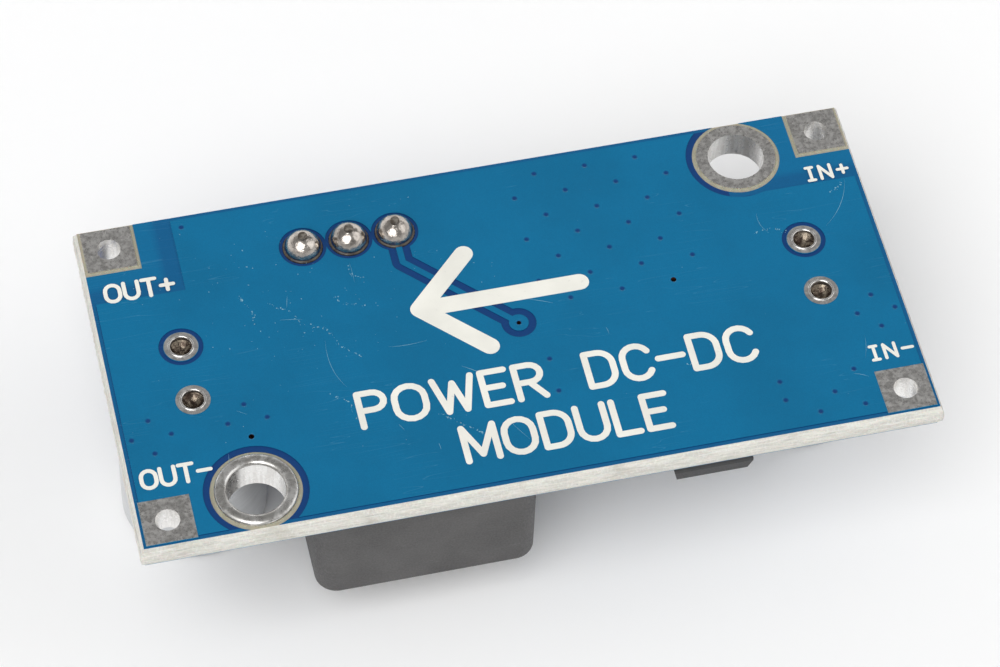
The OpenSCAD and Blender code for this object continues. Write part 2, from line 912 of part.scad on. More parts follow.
module capacitor_base(side) {
    color("dimgray")
        under([side * cap_x, 0])
            difference() {
                translate([0, 0, land_t])
                    linear_extrude(cap_post_h)
                        base_outline();
                translate([0, 0, land_t + cap_base_t])
                    cylinder(d = can_d + 2 * can_fit, h = cap_post_h);
                for (a = [0, 90])
                    rotate(a)
                        translate([0, 0, land_t + cap_base_t + cap_post_h / 2])
                            cube([cap_base_w - 2 * post_w, 2 * cap_base_w, cap_post_h],
                                 center = true);
                for (e = [-1, 1])
                    translate([0, e * cap_foot_mid, land_t + cap_lead_t / 2])
                        cube([cap_lead_w, cap_foot_l, cap_lead_t + slack], center = true);
                for (e = [-1, 1])
                    translate([0, e * (cap_foot_in + cap_lead_t / 2), land_t + cap_base_t / 2])
                        cube([cap_lead_w, cap_lead_t, cap_base_t + slack], center = true);
            }
}

module base_outline() {
    w = cap_base_w / 2;
    c = cap_chamfer;
    polygon([[-w, -w], [w, -w], [w, w - c], [w - c, w], [-w + c, w], [-w, w - c]]);
}

// Each lead comes down through the base and is bent outwards under it.
module capacitor_leads(side) {
    color("silver")
        under([side * cap_x, 0])
            for (e = [-1, 1])
                scale([1, e, 1])
                    translate([-cap_lead_w / 2, cap_foot_in, land_t]) {
                        cube([cap_lead_w, cap_foot_l, cap_lead_t]);
                        cube([cap_lead_w, cap_lead_t, cap_base_t]);
                    }
}

module input_can() can(1);
module input_base() capacitor_base(1);
module input_leads() capacitor_leads(1);
module output_can() can(-1);
module output_base() capacitor_base(-1);
module output_leads() capacitor_leads(-1);

// ---- trimmer ----

housing_low = part_seat + trimmer_foot;
foot_w = 1.1;
trimmer_round = 0.3;

module trimmer_housing() {
    color("royalblue")
        under([0, 0])
            difference() {
                union() {
                    translate([trimmer_x, trimmer_y, housing_low])
                        linear_extrude(trimmer_h)
                            rounded_square(trimmer_l, trimmer_w, trimmer_round);
                    for (sx = [-1, 1], sy = [-1, 1])
                        translate([trimmer_x + sx * (trimmer_l - foot_w) / 2,
                                   trimmer_y + sy * (trimmer_w - foot_w) / 2,
                                   part_seat + trimmer_foot / 2])
                            cube([foot_w, foot_w, trimmer_foot + slack], center = true);
                }
                translate([trimmer_x, trimmer_y, housing_low + trimmer_base_t / 2])
                    cube([trimmer_l - 2 * trimmer_wall, trimmer_w - 2 * trimmer_wall,
                          trimmer_base_t + 2 * slack], center = true);
                translate([screw_x, screw_y, trimmer_top - screw_head_h + screw_out - screw_fit])
                    cylinder(d = screw_d + 2 * screw_fit, h = screw_head_h);
                translate([screw_x, screw_y, trimmer_top - screw_head_h - stem_l])
                    cylinder(d = stem_d + 2 * screw_fit, h = stem_l + screw_head_h);
            }
}

module trimmer_base() {
    color("navy")
        under([0, 0])
            difference() {
                translate([trimmer_x, trimmer_y, housing_low + trimmer_base_t / 2])
                    cube([trimmer_l - 2 * trimmer_wall, trimmer_w - 2 * trimmer_wall,
                          trimmer_base_t], center = true);
                at(pin_spots)
                    cylinder(d = pin_d, h = housing_low + trimmer_base_t + slack);
            }
}

module trimmer_pins() {
    color("silver")
        at(pin_spots)
            translate([0, 0, component_face - housing_low - trimmer_base_t])
                cylinder(d = pin_d, h = housing_low + trimmer_base_t + laminate_t + land_t
                         + dome_h + pin_tip);
}

// Fills each lined hole round its pin and stands on the land as a dome.
module trimmer_solder_joints() {
    foot_r = pin_land_d / 2;
    dome_r = (foot_r * foot_r + dome_h * dome_h) / (2 * dome_h);
    top = solder_face + land_t;
    color("lightgray")
        at(pin_spots)
            difference() {
                union() {
                    intersection() {
                        translate([0, 0, top + dome_h - dome_r])
                            sphere(dome_r);
                        translate([0, 0, top])
                            cylinder(d = pin_land_d, h = 2 * dome_h);
                    }
                    translate([0, 0, component_face - land_t])
                        cylinder(d = pin_hole_d, h = laminate_t + 2 * land_t + slack);
                }
                translate([0, 0, component_face - land_t - slack])
                    cylinder(d = pin_d, h = laminate_t + 2 * land_t + 2 * dome_h);
            }
}

module trimmer_screw() {
    top = trimmer_top + screw_out;
    color("gold")
        under([screw_x, screw_y])
            difference() {
                union() {
                    translate([0, 0, top - screw_head_h])
                        cylinder(d = screw_d, h = screw_head_h);
                    translate([0, 0, top - screw_head_h - stem_l + screw_fit])
                        cylinder(d = stem_d, h = stem_l);
                }
                translate([-screw_d, -slot_w / 2, top - slot_depth])
                    cube([2 * screw_d, slot_w, slot_depth + slack]);
            }
}

// ---- inductor ----

clip_foot = 2;
clip_rise = 2.4;
shield_round = 1.2;

module inductor_place() {
    under([inductor_x, inductor_y])
        children();
}

module clips(t) {
    for (s = [-1, 1])
        scale([s, 1, 1])
            translate([inductor_w / 2 - clip_foot, -clip_w / 2, part_seat]) {
                cube([clip_foot + t, clip_w, t]);
                translate([clip_foot, 0, 0])
                    cube([t, clip_w, clip_rise]);
            }
}

module inductor_base() {
    color("black")
        inductor_place()
            difference() {
                translate([0, 0, part_seat])
                    linear_extrude(inductor_base_t)
                        rounded_square(inductor_w, inductor_w, shield_round);
                clips(clip_t);
            }
}

module inductor_shield() {
    color("darkslategray")
        inductor_place()
            translate([0, 0, part_seat + inductor_base_t])
                difference() {
                    linear_extrude(drum_h)
                        rounded_square(inductor_w, inductor_w, shield_round);
                    translate([0, 0, -slack])
                        cylinder(d = shield_bore_d, h = drum_h + 2 * slack);
                }
}

module inductor_drum() {
    color("dimgray")
        inductor_place()
            translate([0, 0, part_seat + inductor_base_t]) {
                cylinder(d = drum_d, h = flange_t);
                translate([0, 0, drum_h - flange_t])
                    cylinder(d = drum_d, h = flange_t);
                cylinder(d = hub_d, h = drum_h);
            }
}

// Every layer of the coil is a column of turns that nest against each other.
module inductor_winding() {
    color("chocolate")
        inductor_place()
            translate([0, 0, part_seat + inductor_base_t + flange_t])
                rotate_extrude()
                    winding_section();
}

module winding_section() {
    wound = layers * wire_d;
    translate([hub_d / 2, 0])
        square([wound - wire_d / 2, window_h]);
    for (i = [0 : turns - 1])
        translate([hub_d / 2 + wound - wire_d / 2, (i + 0.5) * wind_pitch])
            circle(d = min(wire_d, wind_pitch));
}

module inductor_terminals() {
    color("silver")
        inductor_place()
            clips(clip_t);
}

// ---- regulator ----

tab_land_l = reg_l + tab_out - 0.6;
lead_in = 1;
reg_slope = 0.25;
reg_lift = 0.05;
tab_corner = 0.85;
root_l = 1.6;

module reg_place() {
    under([reg_x, reg_body_y], part_seat)
        children();
}

// Side view of a lead: out of the body, down a steep leg and along its foot.
module lead_profile(reach_in) {
    knee = lead_out - foot_l;
    shoulder = knee - 1;
    leg_t = lead_t * norm([knee - shoulder, exit_h]) / exit_h;
    function leg_x(z) = -knee + (knee - shoulder) * z / exit_h;
    polygon([
        [reach_in, exit_h], [-shoulder, exit_h], [-knee, 0], [-lead_out, 0],
        [-lead_out, lead_t], [leg_x(lead_t) - leg_t, lead_t],
        [leg_x(exit_h + lead_t) - leg_t, exit_h + lead_t], [reach_in, exit_h + lead_t],
    ]);
}

module lead_strip(i) {
    translate([i * lead_pitch - lead_w / 2, -reg_l / 2, 0])
        rotate([90, 0, 90])
            linear_extrude(lead_w)
                lead_profile(lead_in);
}

// The tab, the middle lead and the bend that joins them are one stamping.
module tab_form() {
    translate([-reg_w / 2, -reg_l / 2 + 2 * lead_in, 0])
        cube([reg_w, reg_l + tab_out - 2 * lead_in, tab_t]);
    translate([-lead_w / 2, -reg_l / 2 + lead_in - slack, tab_t - slack])
        cube([lead_w, root_l, exit_h + lead_t - tab_t + slack]);
    lead_strip(0);
}

module side_leads() {
    for (i = [-2, -1, 1, 2])
        lead_strip(i);
}

module regulator_body() {
    color("black")
        reg_place()
            difference() {
                translate([0, 0, reg_lift])
                    waisted(reg_w, reg_l, reg_h - reg_lift, tab_t, exit_h + lead_t, reg_slope);
                tab_form();
                side_leads();
                ejector_mark();
            }
}

// The round mark that the mould's ejector leaves in the top, near the first lead.
module ejector_mark() {
    translate([reg_w / 2 - 1.4 * eject_d, -reg_l / 2 + 1.4 * eject_d, reg_h - eject_depth])
        cylinder(d = eject_d, h = 2 * eject_depth);
}

module regulator_tab() {
    color("silver")
        reg_place()
            difference() {
                tab_form();
                for (s = [-1, 1])
                    translate([s * reg_w / 2, reg_l / 2 + tab_out, 0])
                        rotate(45)
                            cube([sqrt(2) * tab_corner, sqrt(2) * tab_corner, 4 * tab_t],
                                 center = true);
            }
}

module regulator_leads() {
    color("silver")
        reg_place()
            side_leads();
}

// ---- diode ----

diode_mid_h = diode_h / 2;
strip_out = 0.1;
strip_in = 0.7;
diode_slope = 0.2;
diode_foot_mid = diode_l / 2 + diode_lead_t - diode_foot / 2 + strip_out;

module diode_place() {
    under([diode_x, diode_y], part_seat)
        children();
}

// A strip that leaves the waist of the body and wraps down and under it.
module diode_strips() {
    t = diode_lead_t;
    out = diode_l / 2 + strip_out;
    for (s = [-1, 1])
        scale([s, 1, 1])
            translate([0, diode_lead_w / 2, 0])
                rotate([90, 0, 0])
                    linear_extrude(diode_lead_w)
                        polygon([
                            [out - strip_in, diode_mid_h], [out, diode_mid_h], [out, t],
                            [out + t - diode_foot, t], [out + t - diode_foot, 0], [out + t, 0],
                            [out + t, diode_mid_h + t], [out - strip_in, diode_mid_h + t],
                        ]);
}

module diode_body() {
    color("black")
        diode_place()
            difference() {
                translate([0, 0, diode_lead_t])
                    waisted(diode_l, diode_w, diode_h - diode_lead_t,
                            diode_mid_h - diode_lead_t, diode_mid_h, diode_slope);
                diode_strips();
            }
}

module diode_terminals() {
    color("silver")
        diode_place()
            diode_strips();
}

// ---- chips ----

module chip_place(p, turn = 0) {
    under(p, part_seat)
        rotate(turn)
            children();
}

lens_slope = 0.05;

// The body of a chip, smaller than its plated ends by their thickness.
module chip_body(h) {
    translate([0, 0, h / 2])
        cube([chip_l - 2 * chip_plate_t, chip_w - 2 * chip_plate_t, h - 2 * chip_plate_t],
             center = true);
}

module chip_ends(h) {
    difference() {
        for (s = [-1, 1])
            translate([s * (chip_l - chip_end) / 2, 0, h / 2])
                cube([chip_end, chip_w, h], center = true);
        chip_body(h);
    }
}

module chip_resistors() {
    color("black") {
        chip_place(led_resistor_spot)
            chip_body(resistor_h);
        chip_place(feedback_resistor_spot, 90)
            chip_body(resistor_h);
    }
}

module chip_resistor_ends() {
    color("silver") {
        chip_place(led_resistor_spot)
            chip_ends(resistor_h);
        chip_place(feedback_resistor_spot, 90)
            chip_ends(resistor_h);
    }
}

module chip_capacitor() {
    color("burlywood")
        chip_place(chip_cap_spot, 90)
            chip_body(chip_cap_h);
}

module chip_capacitor_ends() {
    color("silver")
        chip_place(chip_cap_spot, 90)
            chip_ends(chip_cap_h);
}

module led_base() {
    color("white")
        chip_place(led_spot)
            chip_body(led_base_h);
}

module led_terminals() {
    color("gold")
        chip_place(led_spot)
            chip_ends(led_base_h);
}

module led_lens() {
    color("aliceblue")
        chip_place(led_spot)
            translate([0, 0, led_base_h - chip_plate_t])
                waisted(chip_l - 2 * chip_end, chip_w - 2 * chip_plate_t, led_lens_h,
                        lens_slope, 1.2 * lens_slope, lens_slope);
}

circuit_board();
ground_plane();
feedback_track();
component_foil();
solder_mask_top();
solder_mask_bottom();
component_lands();
in_plus_terminal();
in_minus_terminal();
out_plus_terminal();
out_minus_terminal();
mounting_hole_linings();
capacitor_hole_linings();
trimmer_hole_linings();
thermal_vias();
stitching_vias();
trimmer_solder_joints();
input_can();
input_base();
input_leads();
output_can();
output_base();
output_leads();
trimmer_housing();
trimmer_base();
trimmer_pins();
trimmer_screw();
inductor_base();
inductor_shield();
inductor_drum();
inductor_winding();
inductor_terminals();
regulator_body();
regulator_tab();
regulator_leads();
diode_body();
diode_terminals();
led_base();
led_lens();
led_terminals();
chip_resistors();
chip_resistor_ends();
chip_capacitor();
chip_capacitor_ends();
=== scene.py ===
"""Looks for a step-down converter module that lies solder side up.

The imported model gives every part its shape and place. This script gives each of them a
finish, and adds what is too fine for the solid model: white print, solder, the snapped
fibres of the board's edge, scratches and dust."""
import math
import random

import bmesh
import bpy
from bpy.props import FloatProperty, FloatVectorProperty, PointerProperty
from mathutils import Matrix, Vector, noise
from mathutils.geometry import delaunay_2d_cdt


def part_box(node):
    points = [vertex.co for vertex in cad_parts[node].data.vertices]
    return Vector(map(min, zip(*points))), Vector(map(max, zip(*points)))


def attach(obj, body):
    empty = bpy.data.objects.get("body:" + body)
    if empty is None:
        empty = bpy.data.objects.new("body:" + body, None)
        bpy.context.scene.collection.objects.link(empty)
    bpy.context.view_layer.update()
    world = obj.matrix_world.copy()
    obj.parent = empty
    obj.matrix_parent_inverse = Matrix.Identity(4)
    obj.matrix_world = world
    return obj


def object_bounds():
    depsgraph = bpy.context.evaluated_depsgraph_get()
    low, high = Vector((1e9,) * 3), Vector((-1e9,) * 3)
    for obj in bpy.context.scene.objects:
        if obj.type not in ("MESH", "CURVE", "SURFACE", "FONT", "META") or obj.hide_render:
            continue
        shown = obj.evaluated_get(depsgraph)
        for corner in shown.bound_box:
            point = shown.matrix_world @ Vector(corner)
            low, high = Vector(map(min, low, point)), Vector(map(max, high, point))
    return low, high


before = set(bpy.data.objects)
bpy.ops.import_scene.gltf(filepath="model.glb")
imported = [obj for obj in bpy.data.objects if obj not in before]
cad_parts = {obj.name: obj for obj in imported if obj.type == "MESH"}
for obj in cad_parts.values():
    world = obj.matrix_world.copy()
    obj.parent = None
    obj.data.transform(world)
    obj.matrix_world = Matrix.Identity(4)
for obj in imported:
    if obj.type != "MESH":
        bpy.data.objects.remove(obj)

bl_info = {
    "name": "Converter Module Looks",
    "version": (1, 0, 0),
    "blender": (4, 5, 0),
    "location": "View3D > Sidebar > Converter",
    "description": "Finishes and fine pieces for a step-down converter module",
    "category": "Object",
}

MM = 0.001                     # one millimetre, in metres
MODULE = "module"             # the body that everything but the screw rides on
CAD_BOX = [list(corner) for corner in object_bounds()]

BOARD_LOW, BOARD_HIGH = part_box("circuit_board")
SOLDER_FACE = BOARD_HIGH.z
COMPONENT_FACE = BOARD_LOW.z
MASK_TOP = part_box("solder_mask_top")[1].z
LAND_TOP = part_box("in_plus_terminal")[1].z
LAND_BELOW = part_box("component_lands")[0].z


def middle(node):
    low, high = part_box(node)
    return (low + high) / 2


def extent(node):
    low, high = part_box(node)
    return high - low


def sides(node, out=0.0):
    """Left, right, lower and upper side of a node's box, moved outwards, in millimetres."""
    low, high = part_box(node)
    return low.x / MM - out, high.x / MM + out, low.y / MM - out, high.y / MM + out


def corner_spots(node, diameter):
    """Centres of the round pieces that stand in the four corners of a node's box."""
    low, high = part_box(node)
    r = diameter / 2
    return [Vector((x, y)) for x in (low.x + r, high.x - r) for y in (low.y + r, high.y - r)]


# ---- sizes and colours ----

def length(name, description, default, least=0.0):
    return FloatProperty(name=name, description=description, default=default,
                         min=least, unit="LENGTH", precision=5)


def colour(name, description, default):
    return FloatVectorProperty(name=name, description=description, default=default,
                               size=3, min=0.0, max=1.0, subtype="COLOR")


def angle(name, description, degrees):
    return FloatProperty(name=name, description=description, default=math.radians(degrees),
                         unit="ROTATION")


class BoardLooks(bpy.types.PropertyGroup):
    mask_on_copper: colour("Mask on copper", "Solder mask where copper lies under it",
                           (0.0035, 0.150, 0.310))
    # painted light: the wide bare areas take this tone, close to that of mask on copper, as if lit
    # through the laminate from below
    mask_lit_through_laminate: colour("Mask in bare areas", "Solder mask in the wide areas without copper",
                          (0.0042, 0.138, 0.300))
    mask_in_gaps: colour("Mask in gaps", "Solder mask in the narrow gaps between coppers",
                         (0.006, 0.046, 0.172))
    laminate: colour("Laminate", "Bare face of the laminate", (0.40, 0.375, 0.285))
    broken_edge: colour("Broken edge", "Glass fibres of the snapped edge", (0.74, 0.72, 0.66))
    copper: colour("Copper", "Foil under the mask", (0.55, 0.24, 0.12))
    edge_step: length("Edge step", "Spacing of the broken fibres along the edge", 0.16 * MM)
    edge_rough: length("Edge roughness", "How far the broken fibres stand out", 0.09 * MM)


class MetalLooks(bpy.types.PropertyGroup):
    tin_light: colour("Light tin", "Bright patches of the tinned lands", (0.68, 0.665, 0.645))
    tin_dark: colour("Dark tin", "Dull patches of the tinned lands", (0.42, 0.41, 0.395))
    solder: colour("Solder", "Solder of the joints", (0.60, 0.55, 0.50))
    aluminium: colour("Aluminium", "Cans of the capacitors", (0.70, 0.71, 0.72))
    brass: colour("Brass", "Adjusting screw", (0.62, 0.44, 0.17))
    mount_land: length("Mounting land", "Diameter of the land round a mounting hole", 4.4 * MM)
    mount_hole: length("Mounting hole", "Diameter of a mounting hole", 3.1 * MM)
    mount_rim: length("Rim of tin", "Height of the thick tin on one mounting land", 0.20 * MM)
    capacitor_land: length("Capacitor land", "Diameter of a capacitor's land", 1.85 * MM)
    capacitor_hole: length("Capacitor hole", "Bore of a capacitor's plated hole", 1.15 * MM)
    lip: length("Lip", "Width of the tin lip round a capacitor hole", 0.15 * MM)
    trimmer_land: length("Trimmer land", "Diameter of a trimmer's land", 2 * MM)


class PrintLooks(bpy.types.PropertyGroup):
    ink: colour("Ink", "White print on the mask", (0.87, 0.86, 0.79))
    thickness: length("Thickness", "Height of the ink above the mask", 0.018 * MM)
    arrow_stroke: length("Arrow stroke", "Width of the arrow's strokes", 1.03 * MM)
    word_height: length("Word height", "Height of the large words", 2.45 * MM)
    word_stroke: length("Word stroke", "Width of the large words' strokes", 0.36 * MM)
    label_height: length("Label height", "Height of the output labels", 1.3 * MM)
    small_label_height: length("Small label height", "Height of the input labels", 1.05 * MM)
    outline_stroke: length("Outline stroke", "Width of the outlines round the parts", 0.15 * MM)
    label_stroke: length("Label stroke", "Width of the labels' strokes", 0.22 * MM)


class PartLooks(bpy.types.PropertyGroup):
    trimmer_blue: colour("Trimmer", "Moulded body of the trimmer", (0.010, 0.085, 0.42))
    moulding: colour("Moulding", "Black body of the regulator and the diode",
                     (0.018, 0.018, 0.019))
    base_plastic: colour("Base", "Black base of the capacitors and the inductor",
                         (0.014, 0.014, 0.015))
    ferrite: colour("Ferrite", "Shield and drum of the inductor", (0.060, 0.058, 0.058))
    ceramic: colour("Ceramic", "Body of the chip capacitor", (0.46, 0.33, 0.20))
    fillet_reach: length("Fillet reach", "How far a solder fillet reaches past a lead",
                         0.30 * MM)


class StudioLooks(bpy.types.PropertyGroup):
    paper: colour("Paper", "Plain paper under and round the module", (0.95, 0.95, 0.95))
    flat_reach: length("Flat reach", "Radius of the paper's flat middle", 0.45)
    paper_reach: length("Paper reach", "Radius of the paper's raised rim", 0.95)
    paper_rise: length("Paper rise", "Height of the paper's raised rim", 0.42)
    azimuth: angle("Azimuth", "Camera's turn round the module", -15.26)
    elevation: angle("Elevation", "Camera's height above the horizon", 54.50)
    roll: angle("Roll", "Camera's turn about its own axis", 2.66)
    distance: length("Distance", "From the camera to the board", 213.6 * MM)
    aim_x: length("Aim X", "Point aimed at, along the board", -0.41 * MM, -1.0)
    aim_y: length("Aim Y", "Point aimed at, across the board", -0.93 * MM, -1.0)
    lens: FloatProperty(name="Lens", description="Focal length, in millimetres",
                        default=144.4, min=1.0)
    key: FloatProperty(name="Key light", description="Strength of the soft front light",
                       default=1.95, min=0.0)
    fill: FloatProperty(name="Fill light", description="Strength of the soft light behind",
                        default=0.6, min=0.0)
    sky: FloatProperty(name="Sky", description="Brightness of the even light from above",
                       default=0.38, min=0.0, max=1.0)


GROUPS = {
    "board_looks": BoardLooks,
    "metal_looks": MetalLooks,
    "print_looks": PrintLooks,
    "part_looks": PartLooks,
    "studio_looks": StudioLooks,
}


# ---- materials ----

def toned(base, share):
    """A colour made darker, or lighter up to white."""
    return tuple(min(1.0, c * share) for c in base)


class Finish:
    """One material under construction. Its textures are laid by the place on the module."""

    def __init__(self, name):
        self.material = bpy.data.materials.new(name)
        self.material.use_nodes = True
        self.tree = self.material.node_tree
        self.shader = self.tree.nodes["Principled BSDF"]
        self.place = self.node("ShaderNodeTexCoord").outputs["Object"]

    def node(self, kind, links=(), **settings):
        made = self.tree.nodes.new(kind)
        for key, value in settings.items():
            setattr(made, key, value)
        for socket, value in dict(links).items():
            self.feed(made.inputs[socket], value)
        return made

    def feed(self, socket, value):
        if isinstance(value, bpy.types.NodeSocket):
            self.tree.links.new(value, socket)
        elif hasattr(value, "__len__") and len(value) == 3 and socket.type == "RGBA":
            socket.default_value = (*value, 1.0)
        else:
            socket.default_value = value

    def set(self, **values):
        """Feeds the shader: base_color=..., roughness=..., specular_ior_level=..."""
        names = {"".join(c if c.isalnum() else "_" for c in s.name.lower()): s
                 for s in self.shader.inputs if s.enabled}
        for key, value in values.items():
            self.feed(names[key], value)
        return self

    def maths(self, operation, a, b=0.0, c=0.0):
        return self.node("ShaderNodeMath", {0: a, 1: b, 2: c},
                         operation=operation).outputs[0]

    def times(self, product, *factors):
        for factor in factors:
            product = self.maths("MULTIPLY", product, factor)
        return product

    def stretched(self, x=1.0, y=1.0, z=1.0, turn=0.0):
        """The place, squeezed along each axis and turned about the upright one."""
        return self.node("ShaderNodeMapping", {
            "Vector": self.place, "Scale": (x, y, z), "Rotation": (0.0, 0.0, turn),
        }).outputs[0]

    def clouds(self, size, detail=3.0, rough=0.55, place=None, twist=0.0):
        """Noise from 0 to 1 whose patches are about that size."""
        return self.node("ShaderNodeTexNoise", {
            "Vector": place or self.place, "Scale": 1 / size, "Detail": detail,
            "Roughness": rough, "Distortion": twist,
        }).outputs["Fac"]

    def cells(self, size, feature="F1", place=None):
        return self.node("ShaderNodeTexVoronoi", {
            "Vector": place or self.place, "Scale": 1 / size,
        }, feature=feature).outputs["Distance"]

    def span(self, value, low, high, to_low=0.0, to_high=1.0):
        """Maps low..high smoothly to to_low..to_high."""
        return self.node("ShaderNodeMapRange", {
            "Value": value, "From Min": low, "From Max": high,
            "To Min": to_low, "To Max": to_high,
        }, interpolation_type="SMOOTHSTEP").outputs["Result"]

    def blend(self, share, a, b, mode="MIX"):
        mixed = self.node("ShaderNodeMix", data_type="RGBA", blend_type=mode)
        for socket, value in ((0, share), (6, a), (7, b)):
            self.feed(mixed.inputs[socket], value)
        return mixed.outputs[2]

    def axis(self, name):
        return self.node("ShaderNodeSeparateXYZ", {0: self.place}).outputs[name]

    def from_middle(self, node):
        """The place, measured from the middle of a CAD node's box."""
        return self.node("ShaderNodeVectorMath", {0: self.place, 1: tuple(middle(node))},
                         operation="SUBTRACT").outputs[0]

    def facing_up(self):
        """1 on level faces and 0 on upright ones."""
        normal = self.node("ShaderNodeNewGeometry").outputs["True Normal"]
        z = self.node("ShaderNodeSeparateXYZ", {0: normal}).outputs["Z"]
        return self.maths("ABSOLUTE", z)

    def relief(self, height, depth, over=None):
        """Bump of that depth, in metres, on top of another bump if given."""
        made = self.node("ShaderNodeBump", {"Height": height, "Distance": depth})
        made.inputs["Strength"].default_value = 1.0
        if over:
            self.feed(made.inputs["Normal"], over)
        return made.outputs["Normal"]

    def scratches(self, size, turn, thin=0.03):
        """Fine straight marks along one direction: 1 on a mark."""
        lines = self.clouds(size, 1.0, place=self.stretched(0.04, 1.0, 1.0, turn))
        away = self.maths("ABSOLUTE", self.maths("SUBTRACT", lines, 0.5))
        return self.span(away, 0.0, thin, 1.0, 0.0)

    def crossed(self, first, second):
        """Two crossing sets of scratches, each given by its size, turn and width."""
        return self.maths("MAXIMUM", self.scratches(*first), self.scratches(*second))

    def coat(self, tone, patch, rough, grain, depth):
        """Colour, roughness that drifts from patch to patch, and a fine grain."""
        return self.set(base_color=tone,
                        roughness=self.span(self.clouds(patch * MM), 0.3, 0.7, *rough),
                        normal=self.relief(self.clouds(grain * MM), depth * MM))


def dress(finish, *nodes):
    """Gives CAD nodes a finish."""
    for name in nodes:
        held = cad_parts[name].data.materials
        held.clear()
        held.append(finish.material)


def mask_finish(looks, name, copper_level, bare_level, areas=()):
    """Glossy mask: light where copper holds it up, dark in the gaps between coppers. areas are the
    boxes of X and Y where it lies wide on the bare laminate; there its tone is lifted nearly to the
    copper tone as painted light shining up through the laminate, with a band of painted shade just
    inside each box's border."""
    f = Finish(name)
    raised = f.span(f.axis("Z"), bare_level, copper_level)
    drift = f.clouds(7 * MM, 4.0)
    over = f.blend(f.span(drift, 0.35, 0.65), looks.mask_on_copper,
                   toned(looks.mask_on_copper, 0.90))
    x, y = f.axis("X"), f.axis("Y")

    def inside(box, fade):
        left, right, low, high = box
        return f.times(f.span(x, left, left + fade), f.span(x, right - fade, right, 1.0, 0.0),
                       f.span(y, low, low + fade), f.span(y, high - fade, high, 1.0, 0.0))

    # painted light and shade: inside the boxes the tone is lifted as light coming through the
    # laminate; the sharp step to 0.62 and the 1.4 mm fade leave a darker band of painted shade
    # inside each border
    wide = 0.0
    for box in areas:
        sharp = f.times(inside(box, 0.01 * MM), 0.62)
        wide = f.maths("MAXIMUM", wide, f.maths("MAXIMUM", sharp, inside(box, 1.4 * MM)))
    under = f.blend(wide, looks.mask_in_gaps, looks.mask_lit_through_laminate)
    tone = f.blend(raised, under, over)
    grain = f.span(f.clouds(0.05 * MM, 2.0), 0.3, 0.7, 0.94, 1.06)
    tone = f.blend(1.0, tone, grain, "MULTIPLY")
    wear = f.crossed((0.5 * MM, 0.6, 0.004), (0.7 * MM, -1.1, 0.003))
    wear = f.times(wear, f.span(f.clouds(5 * MM, 2.0), 0.5, 0.66))
    tone = f.blend(f.times(wear, 0.10), tone, (0.20, 0.45, 0.58))
    dust = f.span(f.cells(0.55 * MM), 0.03, 0.06, 1.0, 0.0)
    dust = f.times(dust, f.span(f.clouds(2.5 * MM, 2.0), 0.58, 0.64))
    tone = f.blend(f.times(dust, 0.4), tone, (0.45, 0.62, 0.68))
    rough = f.maths("ADD", f.span(f.clouds(1.4 * MM, 3.0), 0.3, 0.7, 0.16, 0.26),
                    f.times(wear, 0.2))
    skin = f.relief(f.clouds(0.7 * MM, 2.0), 0.006 * MM)
    skin = f.relief(f.clouds(0.09 * MM, 2.0), 0.0012 * MM, skin)
    f.set(base_color=tone, roughness=rough, normal=skin)
    f.set(specular_ior_level=0.22)
    return f


def laminate_finish(looks):
    """Woven glass in resin: flat beige faces, whitish broken edges with layers."""
    f = Finish("woven_laminate")
    face = f.span(f.facing_up(), 0.7, 0.95)
    weave = f.node("ShaderNodeTexWave", {
        "Vector": f.place, "Scale": 1 / (1.6 * MM), "Distortion": 1.5, "Detail": 2.0,
    }, bands_direction="X").outputs["Fac"]
    flat = f.blend(f.span(weave, 0.2, 0.8, 0.0, 0.3), looks.laminate,
                   toned(looks.laminate, 0.75))
    layers = f.clouds(0.5 * MM, 4.0, 0.7, f.stretched(0.35, 0.35, 5.0))
    fibres = f.clouds(0.12 * MM, 4.0, 0.7, f.stretched(1.0, 1.0, 0.5))
    pale = f.blend(f.span(layers, 0.38, 0.62), toned(looks.broken_edge, 0.80),
                   looks.broken_edge)
    pale = f.blend(f.span(fibres, 0.45, 0.7, 0.0, 0.5), pale, (0.90, 0.89, 0.85))
    stain = f.span(f.clouds(2.2 * MM, 3.0), 0.55, 0.8, 0.0, 0.3)
    pale = f.blend(stain, pale, toned(looks.laminate, 0.6))
    f.set(base_color=f.blend(face, pale, flat), roughness=f.span(fibres, 0.2, 0.8, 0.55, 0.85),
          normal=f.relief(fibres, 0.03 * MM, f.relief(layers, 0.05 * MM)))
    f.set(subsurface_weight=0.15, subsurface_scale=0.4 * MM, specular_ior_level=0.35)
    return f


def metal_finish(name, light, dark, patch, rough, mark=0.5, depth=0.004, bite=(0.4, 0.62)):
    """Bare metal with dull and bright patches, fine scratches and a slightly uneven skin."""
    f = Finish(name)
    patches = f.clouds(patch, 5.0, 0.65, twist=0.6)
    tone = f.blend(f.span(patches, *bite), dark, light)
    wear = f.crossed((patch * 0.35, 0.9, 0.012), (patch * 0.5, -0.5, 0.010))
    tone = f.blend(f.times(wear, mark), tone, toned(light, 1.5))
    uneven = f.clouds(patch * 0.45, 3.0)
    f.set(base_color=tone, roughness=f.span(uneven, 0.3, 0.7, *rough),
          normal=f.relief(uneven, depth * MM))
    f.set(metallic=1.0)
    return f


def plastic_finish(name, tone, rough=(0.35, 0.5), grain=0.06, depth=0.004, pale=1.35):
    """Moulded plastic: a fine eroded grain, slow drift of tone and a few scuffs."""
    f = Finish(name)
    drift = f.span(f.clouds(2.6 * MM, 3.0), 0.3, 0.7)
    body = f.blend(drift, tone, toned(tone, pale))
    scuff = f.times(f.scratches(0.4 * MM, 0.4, 0.006),
                    f.span(f.clouds(1.5 * MM, 2.0), 0.5, 0.65))
    body = f.blend(f.times(scuff, 0.35), body,
                   tuple(min(1.0, c * 2.2 + 0.05) for c in tone))
    skin = f.clouds(grain * MM, 3.0, 0.7)
    f.set(base_color=body, roughness=f.span(skin, 0.3, 0.7, *rough),
          normal=f.relief(skin, depth * MM))
    return f


# ---- building meshes ----

